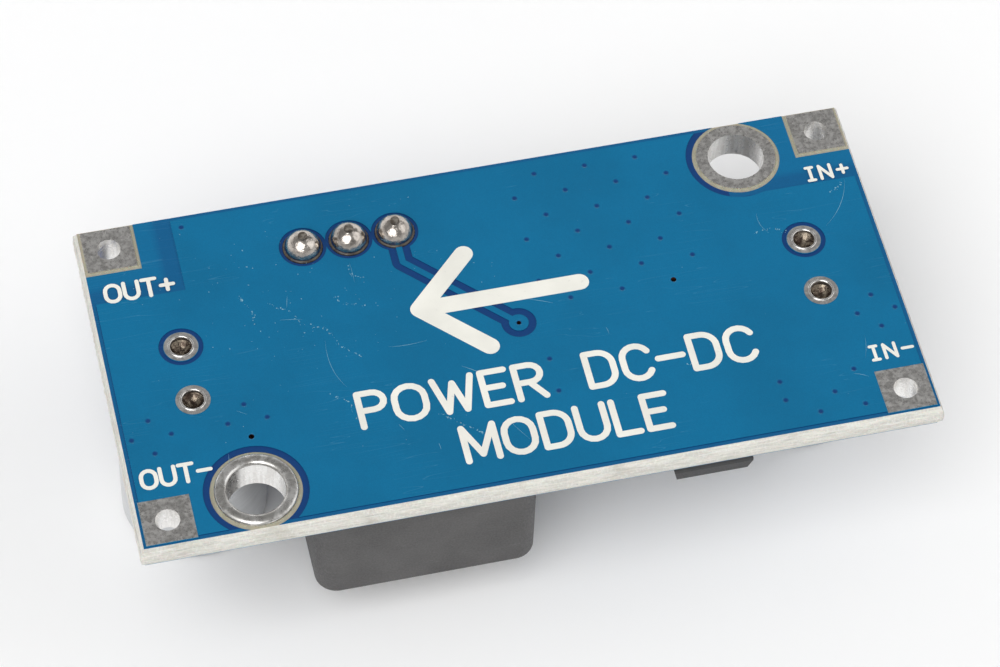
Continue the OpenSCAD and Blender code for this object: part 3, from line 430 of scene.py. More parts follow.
def solid(name, form, finish, smooth=True):
    """Turns a bmesh into an object of the scene."""
    mesh = bpy.data.meshes.new(name)
    bmesh.ops.recalc_face_normals(form, faces=form.faces)
    for face in form.faces:
        face.smooth = smooth
    form.to_mesh(mesh)
    form.free()
    mesh.materials.append(finish.material)
    made = bpy.data.objects.new(name, mesh)
    bpy.context.scene.collection.objects.link(made)
    return made


def piece(name, form, finish, smooth=True):
    """A solid in the module's place, which rides on the module."""
    made = solid(name, form, finish, smooth)
    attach(made, MODULE)


def bridge(form, low, high):
    """Joins two rings of as many points with a closed band of faces."""
    for i in range(len(low)):
        j = (i + 1) % len(low)
        form.faces.new((low[i], low[j], high[j], high[i]))


def disc(centre, radius, steps=20):
    turns = (2 * math.pi * i / steps for i in range(steps))
    return [Vector((centre[0] + radius * math.cos(t), centre[1] + radius * math.sin(t)))
            for t in turns]


def lathe(form, spot, profile, steps=48, closed=False):
    """Turns a profile of (radius, height) about the upright line through spot."""
    rings = [[form.verts.new((*p, z)) for p in disc(spot, r, steps if r else 1)]
             for r, z in profile]
    pairs = list(zip(rings, rings[1:]))
    if closed:
        pairs.append((rings[-1], rings[0]))
    for low, high in pairs:
        if len(low) == len(high):
            bridge(form, low, high)
            continue
        for i in range(steps):
            j = (i + 1) % steps
            if len(low) == 1:
                form.faces.new((low[0], high[j], high[i]))
            else:
                form.faces.new((low[i], low[j], high[0]))


def stroke(points, width):
    """Outlines of a pen stroke with round ends and joints, along a chain of points."""
    shapes = [disc(p, width / 2) for p in points]
    for a, b in zip(points, points[1:]):
        a, b = Vector(a), Vector(b)
        side = (b - a).normalized().orthogonal() * width / 2
        shapes.append([a + side, a - side, b - side, b + side])
    return shapes


def stamp(form, shapes, low, high):
    """Joins overlapping flat outlines into one layer and raises it from low to high."""
    points, loops = [], []
    for shape in shapes:
        area = sum(a.cross(b) for a, b in zip(shape, shape[1:] + shape[:1]))
        ring = shape if area > 0 else shape[::-1]
        loops.append(list(range(len(points), len(points) + len(ring))))
        points += [p / MM for p in ring]
    merged, _, faces, _, _, inside = delaunay_2d_cdt(points, [], loops, 1, 1e-4)
    floor = [form.verts.new((p.x * MM, p.y * MM, low)) for p in merged]
    made = [form.faces.new([floor[i] for i in face])
            for face, origin in zip(faces, inside) if origin]
    risen = bmesh.ops.extrude_face_region(form, geom=made)["geom"]
    top = [v for v in risen if isinstance(v, bmesh.types.BMVert)]
    bmesh.ops.translate(form, verts=top, vec=(0, 0, high - low))
    loose = [v for v in floor if not v.link_faces]
    bmesh.ops.delete(form, geom=loose, context="VERTS")


# ---- print ----

def arc(centre, radii, start, end, steps=8):
    """Points on a part of an ellipse, from one angle to another in degrees."""
    turns = [math.radians(start + (end - start) * i / steps) for i in range(steps + 1)]
    return [(centre[0] + radii[0] * math.cos(t), centre[1] + radii[1] * math.sin(t))
            for t in turns]


# Single-line letters, one high and each with its own width
LETTERS = {
    "C": (0.66, [arc((0.36, 0.66), (0.34, 0.34), 25, 180)
                 + arc((0.36, 0.34), (0.34, 0.34), 180, 335)]),
    "D": (0.66, [[(0, 1), (0, 0)] + arc((0.30, 0.36), (0.36, 0.36), -90, 0)
                 + arc((0.30, 0.64), (0.36, 0.36), 0, 90) + [(0, 1)]]),
    "E": (0.56, [[(0.56, 1), (0, 1), (0, 0), (0.56, 0)], [(0, 0.52), (0.46, 0.52)]]),
    "L": (0.54, [[(0, 1), (0, 0), (0.54, 0)]]),
    "M": (0.78, [[(0, 0), (0, 1), (0.39, 0.15), (0.78, 1), (0.78, 0)]]),
    "O": (0.72, [arc((0.36, 0.64), (0.36, 0.36), 0, 180) + arc((0.36, 0.36), (0.36, 0.36), 180, 360)
                 + [(0.72, 0.64)]]),
    "P": (0.60, [[(0, 0), (0, 1)] + arc((0.34, 0.74), (0.26, 0.26), 90, -90) + [(0, 0.48)]]),
    "R": (0.62, [[(0, 0), (0, 1)] + arc((0.34, 0.74), (0.26, 0.26), 90, -90) + [(0, 0.48)],
                 [(0.30, 0.48), (0.62, 0)]]),
    "T": (0.66, [[(0, 1), (0.66, 1)], [(0.33, 1), (0.33, 0)]]),
    "U": (0.68, [[(0, 1)] + arc((0.34, 0.34), (0.34, 0.34), 180, 360) + [(0.68, 1)]]),
    "W": (0.92, [[(0, 1), (0.24, 0), (0.46, 0.85), (0.68, 0), (0.92, 1)]]),
    "N": (0.66, [[(0, 0), (0, 1), (0.66, 0), (0.66, 1)]]),
    "I": (0.40, [[(0, 1), (0.40, 1)], [(0.20, 1), (0.20, 0)], [(0, 0), (0.40, 0)]]),
    "+": (0.62, [[(0, 0.5), (0.62, 0.5)], [(0.31, 0.81), (0.31, 0.19)]]),
    "-": (0.62, [[(0, 0.5), (0.62, 0.5)]]),
    " ": (0.45, []),
}


# The arrow's tip, tail and two barbs, in millimetres
ARROW = ((-4.25, 1.50), (4.55, 1.50), (-1.15, 4.62), (-1.10, -1.62))
# Words and signs: text, left end, lower edge and width, in millimetres
WORDS = (("POWER", -8.9, -5.5, 10.2), ("DC-DC", 3.4, -5.5, 9.4), ("MODULE", -4.0, -8.75, 11.3))
SIGNS = (("OUT+", -20.58, 5.27, 3.88), ("OUT-", -20.80, -6.85, 3.85),
         ("IN+", 18.45, 5.47, 2.45), ("IN-", 18.55, -6.85, 2.45))
# The same for the component side, where X runs the other way; then the room between a part
# and its outline, and between an outline and the board's edge
SIGNS_BELOW = (("OUT+", 17.6, 6.05, 3.2), ("OUT-", 17.6, -7.0, 3.2),
               ("IN+", -20.9, 6.05, 2.4), ("IN-", -20.9, -7.0, 2.4))
ROOM, BRIM = 0.25, 0.5


def word(text, left, low, width, height, pen, gap=0.24):
    """Outlines of a word whose strokes' outer box has that corner and size."""
    natural = sum(LETTERS[c][0] + gap for c in text) - gap
    grow_x, grow_y = (width - pen) / natural, height - pen
    x, shapes = 0.0, []
    for c in text:
        wide, lines = LETTERS[c]
        for line in lines:
            shapes += stroke([(left + pen / 2 + (x + px) * grow_x, low + pen / 2 + py * grow_y)
                              for px, py in line], pen)
        x += wide + gap
    return shapes


def ink_finish(looks):
    f = Finish("print_ink")
    thin = f.span(f.clouds(0.35 * MM, 4.0, 0.7), 0.62, 0.75, 0.0, 0.35)
    tone = f.blend(f.span(f.clouds(3 * MM), 0.3, 0.7), looks.ink, toned(looks.ink, 0.9))
    tone = f.blend(thin, tone, toned(looks.ink, 0.55))
    grain = f.clouds(0.08 * MM, 3.0)
    f.set(base_color=tone, roughness=f.span(grain, 0.3, 0.7, 0.5, 0.7),
          normal=f.relief(grain, 0.004 * MM))
    f.set(specular_ior_level=0.3)
    return f


class CONVERTER_OT_print(bpy.types.Operator):
    """White print: the current arrow, the words and the terminal labels"""
    bl_idname = "converter.print"
    bl_label = "White Print"

    def execute(self, context):
        looks = context.scene.print_looks
        ink = ink_finish(looks)
        low, high = MASK_TOP, MASK_TOP + looks.thickness
        tip, tail, barb, other_barb = (Vector(spot) * MM for spot in ARROW)
        arrow = bmesh.new()
        stamp(arrow, stroke([tip, tail], looks.arrow_stroke)
              + stroke([barb, tip, other_barb], looks.arrow_stroke), low, high)
        piece("print_arrow", arrow, ink, smooth=False)
        tall, pen = looks.word_height, looks.word_stroke
        words = bmesh.new()
        for text, left, bottom, width in WORDS:
            stamp(words, word(text, left * MM, bottom * MM, width * MM, tall, pen), low, high)
        piece("print_words", words, ink, smooth=False)
        labels = bmesh.new()
        for text, left, bottom, width in SIGNS:
            small = text.startswith("IN")
            tall = looks.small_label_height if small else looks.label_height
            pen = looks.label_stroke * (0.8 if small else 1.0)
            stamp(labels, word(text, left * MM, bottom * MM, width * MM, tall, pen,
                               0.42 if small else 0.24), low, high)
        piece("print_terminal_labels", labels, ink, smooth=False)
        return {"FINISHED"}


class CONVERTER_OT_outlines(bpy.types.Operator):
    """White print of the component side: an outline round each part, and its signs"""
    bl_idname = "converter.outlines"
    bl_label = "Part Outlines"

    def execute(self, context):
        looks = context.scene.print_looks
        pen = looks.outline_stroke
        lines = []
        for part in (self.capacitors, self.inductor, self.trimmer, self.diode, self.chips):
            part(lines)
        shapes = [shape for line in lines
                  for shape in stroke([(x * MM, y * MM) for x, y in line], pen)]
        form = bmesh.new()
        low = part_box("solder_mask_bottom")[0].z
        stamp(form, shapes, low - looks.thickness, low)
        for text, left, bottom, width in SIGNS_BELOW:
            letters = word(text, left * MM, bottom * MM, width * MM, 0.95 * MM,
                           looks.label_stroke * 0.8, 0.36)
            # the print reads from below, so it runs the other way along X
            stamp(form, [[Vector((-p.x, p.y)) for p in shape] for shape in letters],
                  low - looks.thickness, low)
        piece("print_part_outlines", form, ink_finish(looks), smooth=False)
        return {"FINISHED"}

    def capacitors(self, lines):
        for node, s in (("input_base", 1), ("output_base", -1)):
            left, right, bottom, top = sides(node)
            x, half = abs(left + right) / 2, (top - bottom) / 2 + 0.4
            lead, reach, arm = 1.55, 3.3, 0.4
            for e in (-1, 1):
                lines.append([(s * (x + lead), e * half), (s * (x + reach), e * half)])
                bevel = 1.6 if e > 0 else 0.0
                lines.append([(s * (x - lead), e * half), (s * (x - half + bevel), e * half),
                              (s * (x - half), e * (half - bevel)), (s * (x - half), 0.0)])
            px, py = (x - 3.6, half + 0.8) if s > 0 else (half + 0.1 - x, half)
            lines += [[(px - arm, py), (px + arm, py)], [(px, py - arm), (px, py + arm)]]

    def inductor(self, lines):
        left, right, bottom, top = sides("inductor_base", ROOM)
        middle_y, clip = (bottom + top) / 2, 2.75
        bottom = max(bottom, BRIM - BOARD_HIGH.y / MM)
        for y, start in ((top, middle_y + clip), (bottom, middle_y - clip)):
            lines.append([(left, start), (left, y), (right, y), (right, start)])

    def trimmer(self, lines):
        left, right, bottom, top = sides("trimmer_housing", ROOM)
        top = min(top, BOARD_HIGH.y / MM - BRIM)
        lines.append([(left, bottom), (right, bottom), (right, top), (left, top), (left, bottom)])

    def diode(self, lines):
        left, right = sides("diode_body")[:2]
        bottom, top = sides("diode_body", ROOM)[2:]
        bar = left + 0.45
        lines += [[(left, bottom), (right, bottom)], [(left, top), (right, top)],
                  [(bar, bottom), (bar, top)]]

    def chips(self, lines):
        """Brackets at the long sides of the chips, and the light's own mark."""
        for node in ("led_terminals", "chip_capacitor_ends"):
            left, right, bottom, top = sides(node)
            x, y, long = (left + right) / 2, (bottom + top) / 2, 0.55
            if right - left > top - bottom:
                lines += [[(x - long, side), (x + long, side)]
                          for side in (bottom - ROOM, top + ROOM)]
                lines.append([(x + 1.75, y - 0.4), (x + 1.75, y + 0.4)])
            else:
                lines += [[(side, y - long), (side, y + long)]
                          for side in (left - ROOM, right + ROOM)]


# ---- board ----

class CONVERTER_OT_mask(bpy.types.Operator):
    """Blue solder mask on both faces"""
    bl_idname = "converter.mask"
    bl_label = "Solder Mask"

    def execute(self, context):
        looks = context.scene.board_looks
        end, side = BOARD_HIGH.x, BOARD_HIGH.y
        out = 2 * MM           # the fade of an area's tone lies off the board at its rims
        # painted light: a strip this wide along every edge of the board takes the lighter tone,
        # like the bare areas round OUT+ and IN+, as light coming in through the laminate
        rim = 0.4 * MM
        output_area, input_area, low_edge = -16.2 * MM, 14.0 * MM, 5.3 * MM
        areas = ((-end - out, output_area, low_edge, side + out),
                 (input_area, end + out, low_edge, side + out),
                 (-end - out, end + out, side - rim, side + out),
                 (-end - out, end + out, -side - out, rim - side),
                 (-end - out, rim - end, -side - out, side + out),
                 (end - rim, end + out, -side - out, side + out))
        top = mask_finish(looks, "solder_mask", MASK_TOP - 0.01 * MM, MASK_TOP - 0.04 * MM,
                          areas)
        dress(top, "solder_mask_top")
        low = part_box("solder_mask_bottom")[0].z
        dress(mask_finish(looks, "solder_mask_below", low + 0.02 * MM, low - 0.02 * MM),
              "solder_mask_bottom")
        return {"FINISHED"}


def edge_path(step):
    """Points round the board's outline, each with its outward direction."""
    x, y = BOARD_HIGH.x, BOARD_HIGH.y
    corners = [Vector((-x, -y)), Vector((x, -y)), Vector((x, y)), Vector((-x, y))]
    path = []
    for a, b in zip(corners, corners[1:] + corners[:1]):
        count = max(2, round((b - a).length / step))
        out = Vector(((b - a).y, -(b - a).x)).normalized()
        path += [(a.lerp(b, i / count), out) for i in range(count)]
    return path


class CONVERTER_OT_laminate(bpy.types.Operator):
    """Laminate with its snapped, fibrous edge, and the copper foil"""
    bl_idname = "converter.laminate"
    bl_label = "Laminate And Foil"

    def execute(self, context):
        looks = context.scene.board_looks
        laminate = laminate_finish(looks)
        dress(laminate, "circuit_board")
        copper = metal_finish("bare_copper", looks.copper, toned(looks.copper, 0.4),
                              0.8 * MM, (0.3, 0.5))
        dress(copper, "ground_plane", "feedback_track", "component_foil", "thermal_vias",
              "stitching_vias")
        self.snapped_edge(looks, laminate)
        return {"FINISHED"}

    def snapped_edge(self, looks, laminate):
        """A rough skin over the web between the two score cuts."""
        rows = 7
        thick = SOLDER_FACE - COMPONENT_FACE
        form = bmesh.new()
        path = edge_path(looks.edge_step)
        grid = []
        for row in range(rows):
            share = row / (rows - 1)
            z = COMPONENT_FACE + thick * (0.26 + 0.48 * share)
            ring = []
            for spot, out in path:
                p = Vector((spot.x, spot.y, z)) / MM
                swell = 0.5 + 0.5 * noise.fractal(p * 3.1, 0.6, 2.1, 4)
                lift = looks.edge_rough * swell * math.sin(math.pi * share) ** 0.5 - 0.012 * MM
                jog = 0.03 * MM * noise.noise(p * 9.0)
                ring.append(form.verts.new((spot.x + out.x * lift, spot.y + out.y * lift, z + jog)))
            grid.append(ring)
        for low, high in zip(grid, grid[1:]):
            bridge(form, low, high)
        piece("snapped_edge", form, laminate)


class CONVERTER_OT_tinned_lands(bpy.types.Operator):
    """Tinned lands and hole linings, and the thick tin on one mounting land"""
    bl_idname = "converter.tinned_lands"
    bl_label = "Tinned Lands"

    def execute(self, context):
        looks = context.scene.metal_looks
        tin = self.land_tin(looks, 0.30 * MM)
        dress(tin, "in_plus_terminal", "in_minus_terminal", "out_plus_terminal",
              "out_minus_terminal", "mounting_hole_linings", "component_lands")
        ring = metal_finish("ring_tin", toned(looks.tin_light, 0.9), looks.tin_dark,
                            0.3 * MM, (0.3, 0.5), mark=0.3)
        dress(ring, "capacitor_hole_linings", "trimmer_hole_linings")
        self.thick_tin(looks)
        self.hole_lips(looks)
        return {"FINISHED"}

    def land_tin(self, looks, patch):
        """Dull mottled tin on the flat lands; on every upright face, the hole walls and the lands'
        edges, a light streaked tone that is a painted highlight of the light caught and reflected
        there.
        """
        f = Finish("hot_air_tin")
        flat = f.span(f.facing_up(), 0.3, 0.7)
        patches = f.clouds(patch, 4.0, 0.6, twist=0.4)
        land = f.blend(f.span(patches, 0.35, 0.65), looks.tin_dark, looks.tin_light)
        pits = f.span(f.cells(0.13 * MM), 0.12, 0.30, 0.55, 0.0)
        pits = f.times(pits, f.span(f.clouds(0.5 * MM, 2.0), 0.45, 0.6))
        land = f.blend(pits, land, toned(looks.tin_dark, 0.4))
        wear = f.crossed((0.12 * MM, 0.9, 0.012), (0.18 * MM, -0.5, 0.010))
        land = f.blend(f.times(wear, 0.25), land, (0.75, 0.74, 0.72))
        # painted highlight: upright faces get this light streaked tone in place of the light that
        # the hole walls and the land edges reflect
        streaks = f.clouds(0.22 * MM, 2.0, place=f.stretched(1.0, 1.0, 0.12))
        painted_wall_highlight = f.blend(f.span(streaks, 0.40, 0.60), toned(looks.tin_light, 1.2),
                       (0.92, 0.91, 0.89))
        uneven = f.clouds(patch * 0.5, 3.0)
        f.set(base_color=f.blend(flat, painted_wall_highlight, land),
              roughness=f.span(uneven, 0.3, 0.7, 0.24, 0.42),
              normal=f.relief(uneven, 0.006 * MM))
        f.set(metallic=1.0)
        return f

    def hole_lips(self, looks):
        """The rounded lip of tin round each capacitor hole, whose lighter tone than the ring is
        partly a painted highlight along the lip.
        """
        # partly painted highlight: the lip's tin is lighter than the ring's, besides the real shine
        # of its rounded shape
        bright = metal_finish("lip_tin", (0.80, 0.79, 0.77), (0.52, 0.50, 0.48), 0.3 * MM,
                              (0.1, 0.22), mark=0.2)
        form = bmesh.new()
        inner, wide, high = looks.capacitor_hole / 2, looks.lip, 0.45 * looks.lip
        for spot in corner_spots("capacitor_hole_linings", looks.capacitor_land):
            arch = [(inner + wide * (0.5 - 0.5 * math.cos(t)), LAND_TOP + high * math.sin(t))
                    for t in (math.pi * i / 8 for i in range(1, 8))]
            foot = LAND_TOP - 0.01 * MM
            lathe(form, spot, [(inner + 0.002 * MM, foot), *arch, (inner + wide, foot)], 48,
                  closed=True)
        piece("capacitor_hole_lips", form, bright)

    def thick_tin(self, looks):
        """The rounded roll of tin on the land beside the output minus terminal."""
        shiny = metal_finish("thick_tin", (0.70, 0.69, 0.67), (0.40, 0.39, 0.37), 0.8 * MM,
                             (0.22, 0.4), mark=0.3)
        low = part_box("mounting_hole_linings")[0]
        inner, outer = looks.mount_hole / 2, looks.mount_land / 2
        spot = (low.x + outer, low.y + outer)
        mid, half = (inner + outer) / 2, (outer - inner) / 2
        bulge = [(mid - half * math.cos(t), LAND_TOP + looks.mount_rim * math.sin(t) ** 0.8)
                 for t in (math.pi * i / 10 for i in range(1, 10))]
        foot = LAND_TOP - 0.01 * MM
        form = bmesh.new()
        lathe(form, spot, [(inner, foot), *bulge, (outer, foot)], 64, closed=True)
        piece("mounting_tin_roll", form, shiny)


class CONVERTER_OT_solder(bpy.types.Operator):
    """Solder: the trimmer's joints and pins, the filled capacitor holes and the flux round the
    joints
    """
    bl_idname = "converter.solder"
    bl_label = "Solder"

    def execute(self, context):
        looks = context.scene.metal_looks
        # partly painted reflection: the dark patches on these joints stand in for dark surroundings
        # seen in the domes; the lighter tone is the solder's own
        bright = metal_finish("bright_solder", looks.solder, toned(looks.solder, 0.55),
                              0.7 * MM, (0.12, 0.24), mark=0.1, depth=0.03, bite=(0.34, 0.66))
        dress(bright, "trimmer_solder_joints")
        dull = metal_finish("cut_pin", (0.36, 0.33, 0.29), (0.14, 0.12, 0.10), 0.3 * MM,
                            (0.45, 0.65))
        dress(dull, "trimmer_pins")
        self.hole_filling(looks)
        self.flux_rings(looks)
        return {"FINISHED"}

    def hole_filling(self, looks):
        """Solder that rose through the plated holes from the other side and stopped short."""
        # painted shade: the sunk solder takes a dark brown-black well below the solder's own tone,
        # for the shade down in the holes
        dark = metal_finish("recessed_solder", (0.26, 0.22, 0.17), (0.05, 0.035, 0.028), 0.35 * MM,
                            (0.15, 0.4), mark=0.1, depth=0.03)
        form = bmesh.new()
        r, sink = looks.capacitor_hole / 2 + 0.01 * MM, 0.32 * MM
        for n, spot in enumerate(corner_spots("capacitor_hole_linings", looks.capacitor_land)):
            edge = LAND_TOP - (0.14 + 0.05 * (n % 3)) * MM      # no two neighbours as deep
            dish = [(r * s, edge - sink * (1 - s * s))
                    for s in (0.0, 0.25, 0.5, 0.7, 0.85, 0.95, 1.0)]
            lathe(form, spot, [(0.0, edge - 2 * sink), (r, edge - 2 * sink)] + dish[::-1], 32)
        piece("capacitor_hole_solder", form, dark)

    def flux_rings(self, looks):
        """Brown flux left round the foot of each joint."""
        f = Finish("flux_residue")
        tone = f.blend(f.span(f.clouds(0.3 * MM, 4.0), 0.35, 0.65), (0.10, 0.085, 0.065),
                       (0.045, 0.038, 0.032))
        f.coat(tone, 0.15, (0.1, 0.3), 0.12, 0.01)
        low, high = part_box("trimmer_pins")
        pin = high.y - low.y
        r, foot = looks.trimmer_land / 2, SOLDER_FACE + 0.035 * MM
        ring = [(r - 0.02 * MM, LAND_TOP), (r - 0.02 * MM, LAND_TOP + 0.05 * MM),
                (r + 0.05 * MM, LAND_TOP + 0.02 * MM), (r + 0.11 * MM, foot),
                (r + 0.02 * MM, foot)]
        form = bmesh.new()
        for i in range(3):
            spot = (low.x + pin / 2 + i * (high.x - low.x - pin) / 2, middle("trimmer_pins").y)
            lathe(form, spot, ring, closed=True)
        piece("flux_rings", form, f)


# ---- parts under the board ----

class CONVERTER_OT_capacitors(bpy.types.Operator):
    """Electrolytic capacitors: lathe-turned cans, black bases and tinned leads"""
    bl_idname = "converter.capacitors"
    bl_label = "Capacitors"

    def execute(self, context):
        metal, parts = context.scene.metal_looks, context.scene.part_looks
        for side in ("input", "output"):
            dress(self.can(metal.aluminium, f"{side}_can"), f"{side}_can")
        dress(plastic_finish("capacitor_base", parts.base_plastic), "input_base", "output_base")
        dress(metal_finish("capacitor_lead", metal.tin_light, metal.tin_dark, 0.6 * MM, (0.3, 0.5)),
              "input_leads", "output_leads")
        return {"FINISHED"}

    def can(self, tone, node):
        """Drawn aluminium with rings on its end, and the black mark of the minus side."""
        f = Finish(f"{node}_metal")
        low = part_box(node)[0]
        parts = f.node("ShaderNodeSeparateXYZ", {0: f.from_middle(node)}).outputs
        radius = f.maths("SQRT", f.maths("ADD", f.times(parts[0], parts[0]),
                                         f.times(parts[1], parts[1])))
        lines = f.node("ShaderNodeTexNoise", {
            "Vector": f.node("ShaderNodeCombineXYZ", {0: radius, 2: parts[2]}).outputs[0],
            "Scale": 1 / (0.09 * MM), "Detail": 4.0, "Roughness": 0.7}).outputs["Fac"]
        shade = f.blend(f.span(lines, 0.3, 0.7), toned(tone, 0.82), tone)
        on_end = f.span(f.maths("SUBTRACT", f.axis("Z"), low.z), 0.0, 0.25 * MM, 1.0, 0.0)
        rim, chord = 3.35 * MM, -1.35 * MM
        inside = f.span(radius, rim, rim + 0.05 * MM, 1.0, 0.0)
        minus = f.span(parts[1], chord, chord + 0.03 * MM, 1.0, 0.0)
        mark = f.times(on_end, inside, minus)
        f.set(base_color=f.blend(mark, shade, (0.012, 0.012, 0.013)),
              roughness=f.maths("ADD", f.span(lines, 0.3, 0.7, 0.26, 0.38),
                                f.times(mark, 0.15)),
              metallic=f.maths("SUBTRACT", 1.0, mark),
              normal=f.relief(lines, 0.006 * MM))
        return f


class CONVERTER_OT_trimmer(bpy.types.Operator):
    """Trimmer: blue body, sealed bottom and slotted brass screw"""
    bl_idname = "converter.trimmer"
    bl_label = "Trimmer"

    def execute(self, context):
        metal, parts = context.scene.metal_looks, context.scene.part_looks
        dress(plastic_finish("trimmer_plastic", parts.trimmer_blue, (0.28, 0.42), 0.09, 0.006,
                             1.12), "trimmer_housing")
        dress(plastic_finish("trimmer_sealing", tuple(c * 0.6 + 0.02 for c in parts.trimmer_blue),
                             (0.12, 0.25), 0.4, 0.03), "trimmer_base")
        dress(self.turned_brass(metal.brass), "trimmer_screw")
        return {"FINISHED"}

    def turned_brass(self, tone):
        f = Finish("turned_brass")
        rings = f.node("ShaderNodeTexWave", {
            "Vector": f.from_middle("trimmer_screw"), "Scale": 1 / (1.2 * MM),
            "Distortion": 0.3, "Detail": 1.0,
        }, wave_type="RINGS", rings_direction="Z").outputs["Fac"]
        tarnish = f.span(f.clouds(0.5 * MM, 4.0), 0.4, 0.7)
        f.set(base_color=f.blend(tarnish, tone, toned(tone, 0.55)),
              roughness=f.span(rings, 0.0, 1.0, 0.22, 0.34), normal=f.relief(rings, 0.004 * MM))
        f.set(metallic=1.0)
        return f


class CONVERTER_OT_inductor(bpy.types.Operator):
    """Shielded inductor: ferrite, enamelled wire, base, clips and the glue in its gap"""
    bl_idname = "converter.inductor"
    bl_label = "Inductor"

    def execute(self, context):
        metal, parts = context.scene.metal_looks, context.scene.part_looks
        ferrite = plastic_finish("ferrite", parts.ferrite, (0.42, 0.68), 0.12, 0.012)
        dress(ferrite, "inductor_shield", "inductor_drum")
        dress(plastic_finish("inductor_base", parts.base_plastic), "inductor_base")
        dress(metal_finish("enamelled_wire", (0.72, 0.27, 0.10), (0.40, 0.12, 0.04), 1.0 * MM,
                           (0.12, 0.25)), "inductor_winding")
        dress(metal_finish("inductor_clip", metal.tin_light, metal.tin_dark, 0.7 * MM,
                           (0.25, 0.45)), "inductor_terminals")
        self.glue()
        return {"FINISHED"}

    def glue(self):
        """Four beads that hold the drum in its shield."""
        f = Finish("epoxy_glue")
        f.coat(f.blend(f.clouds(0.4 * MM), (0.05, 0.045, 0.04), (0.12, 0.11, 0.10)),
               0.3, (0.18, 0.35), 0.2, 0.02)
        centre, r = middle("inductor_drum"), extent("inductor_drum").x / 2
        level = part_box("inductor_drum")[0].z
        half_bead, wide, high = math.radians(16), 0.45 * MM, 0.16 * MM
        form = bmesh.new()
        for turn in range(4):
            rows = []
            for i in range(13):
                along = i / 6 - 1
                t = math.radians(45 + 90 * turn) + half_bead * along
                reach = math.sqrt(max(0.0, 1 - along ** 2)) + 0.02
                row = []
                for j in range(9):
                    a = math.pi * j / 8
                    out = r + 0.15 * MM - wide * reach * math.cos(a)
                    row.append(form.verts.new((
                        centre.x + out * math.cos(t), centre.y + out * math.sin(t),
                        level + 0.03 * MM - high * reach * math.sin(a))))
                rows.append(row)
            for a, b in zip(rows, rows[1:]):
                bridge(form, a, b)
            form.faces.new(rows[0])
            form.faces.new(rows[-1][::-1])
        piece("inductor_glue", form, f)


class CONVERTER_OT_regulator(bpy.types.Operator):
    """Regulator, diode and chip parts, with the fillets that hold them"""
    bl_idname = "converter.regulator"
    bl_label = "Regulator, Diode And Chips"

    def execute(self, context):
        metal, parts = context.scene.metal_looks, context.scene.part_looks
        dress(plastic_finish("black_moulding", parts.moulding, (0.45, 0.62), 0.07, 0.006),
              "regulator_body", "diode_body")
        lead = metal_finish("tinned_lead", metal.tin_light, toned(metal.tin_light, 0.72),
                            0.9 * MM, (0.25, 0.42), mark=0.2, bite=(0.3, 0.7))
        dress(lead, "regulator_leads", "regulator_tab", "diode_terminals")
        dress(metal_finish("chip_ends", (0.62, 0.61, 0.58), (0.30, 0.29, 0.27), 0.3 * MM,
                           (0.2, 0.35), mark=0.1), "chip_resistor_ends", "chip_capacitor_ends")
        dress(metal_finish("contact_gold", (0.78, 0.55, 0.20), (0.45, 0.29, 0.10), 0.3 * MM,
                           (0.18, 0.3), mark=0.1), "led_terminals")
        dress(plastic_finish("resistor_glaze", (0.02, 0.02, 0.022), (0.15, 0.3), 0.2, 0.004),
              "chip_resistors")
        dress(plastic_finish("chip_ceramic", parts.ceramic, (0.4, 0.55), 0.05, 0.003, 1.1),
              "chip_capacitor")
        dress(plastic_finish("led_substrate", (0.66, 0.66, 0.60), (0.45, 0.6), 0.06, 0.003, 1.05),
              "led_base")
        dress(self.clear_epoxy(), "led_lens")
        self.fillets(metal, parts)
        return {"FINISHED"}

    def clear_epoxy(self):
        f = Finish("led_epoxy")
        tone = f.blend(f.clouds(0.4 * MM), (0.75, 0.72, 0.55), (0.62, 0.60, 0.46))
        f.coat(tone, 0.2, (0.08, 0.2), 0.3, 0.01)
        f.set(transmission_weight=0.35, ior=1.5)
        return f

    def fillets(self, metal, parts):
        """Solder drawn up round the feet, from the land to half the metal's height."""
        solder = metal_finish("fillet_solder", metal.solder, toned(metal.solder, 0.5),
                              0.5 * MM, (0.1, 0.28), mark=0.1, depth=0.02)
        reach = parts.fillet_reach
        form = bmesh.new()
        low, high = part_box("regulator_leads")
        wide, long = 0.8 * MM, 2.2 * MM
        pitch = (high.x - low.x - wide) / 4
        for i in range(5):
            skirt(form, (low.x + wide / 2 + i * pitch, low.y + long / 2), (wide, long),
                  0.32 * MM, reach)
        for node, long, wide, height in FEET:
            for spot, foot in feet(middle(node), extent(node), long * MM, wide * MM):
                skirt(form, spot, foot, height * MM, reach)
        for centre, size in self.chips():
            for spot, foot in feet(centre, size, 0.4 * MM):
                skirt(form, spot, foot, 0.3 * MM, 0.22 * MM)
        piece("solder_fillets", form, solder)

    def chips(self):
        """Middle and size of every chip part."""
        low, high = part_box("chip_resistor_ends")
        led, cap = middle("led_terminals"), middle("chip_capacitor_ends")
        led_size, cap_size = extent("led_terminals"), extent("chip_capacitor_ends")
        return ((led, led_size), (cap, cap_size),
                (Vector((led.x, high.y - led_size.y / 2)), led_size),
                (Vector((cap.x, low.y + cap_size.y / 2)), cap_size))


# Feet at both ends of the larger parts: node, length, width and height of the solder on them,
# in millimetres
FEET = (("diode_terminals", 1.2, 1.45, 0.45), ("input_leads", 1.0, 0.8, 0.28),
        ("output_leads", 1.0, 0.8, 0.28), ("inductor_terminals", 0.6, 4.4, 0.9))


def feet(centre, size, long, wide=None):
    """Middle and size of the foot at each end of a part, along the part's longer side."""
    axis = 0 if size.x > size.y else 1
    for s in (-1, 1):
        spot, foot = [centre.x, centre.y], [wide or size[1 - axis]] * 2
        spot[axis] += s * (size[axis] - long) / 2
        foot[axis] = long
        yield spot, foot


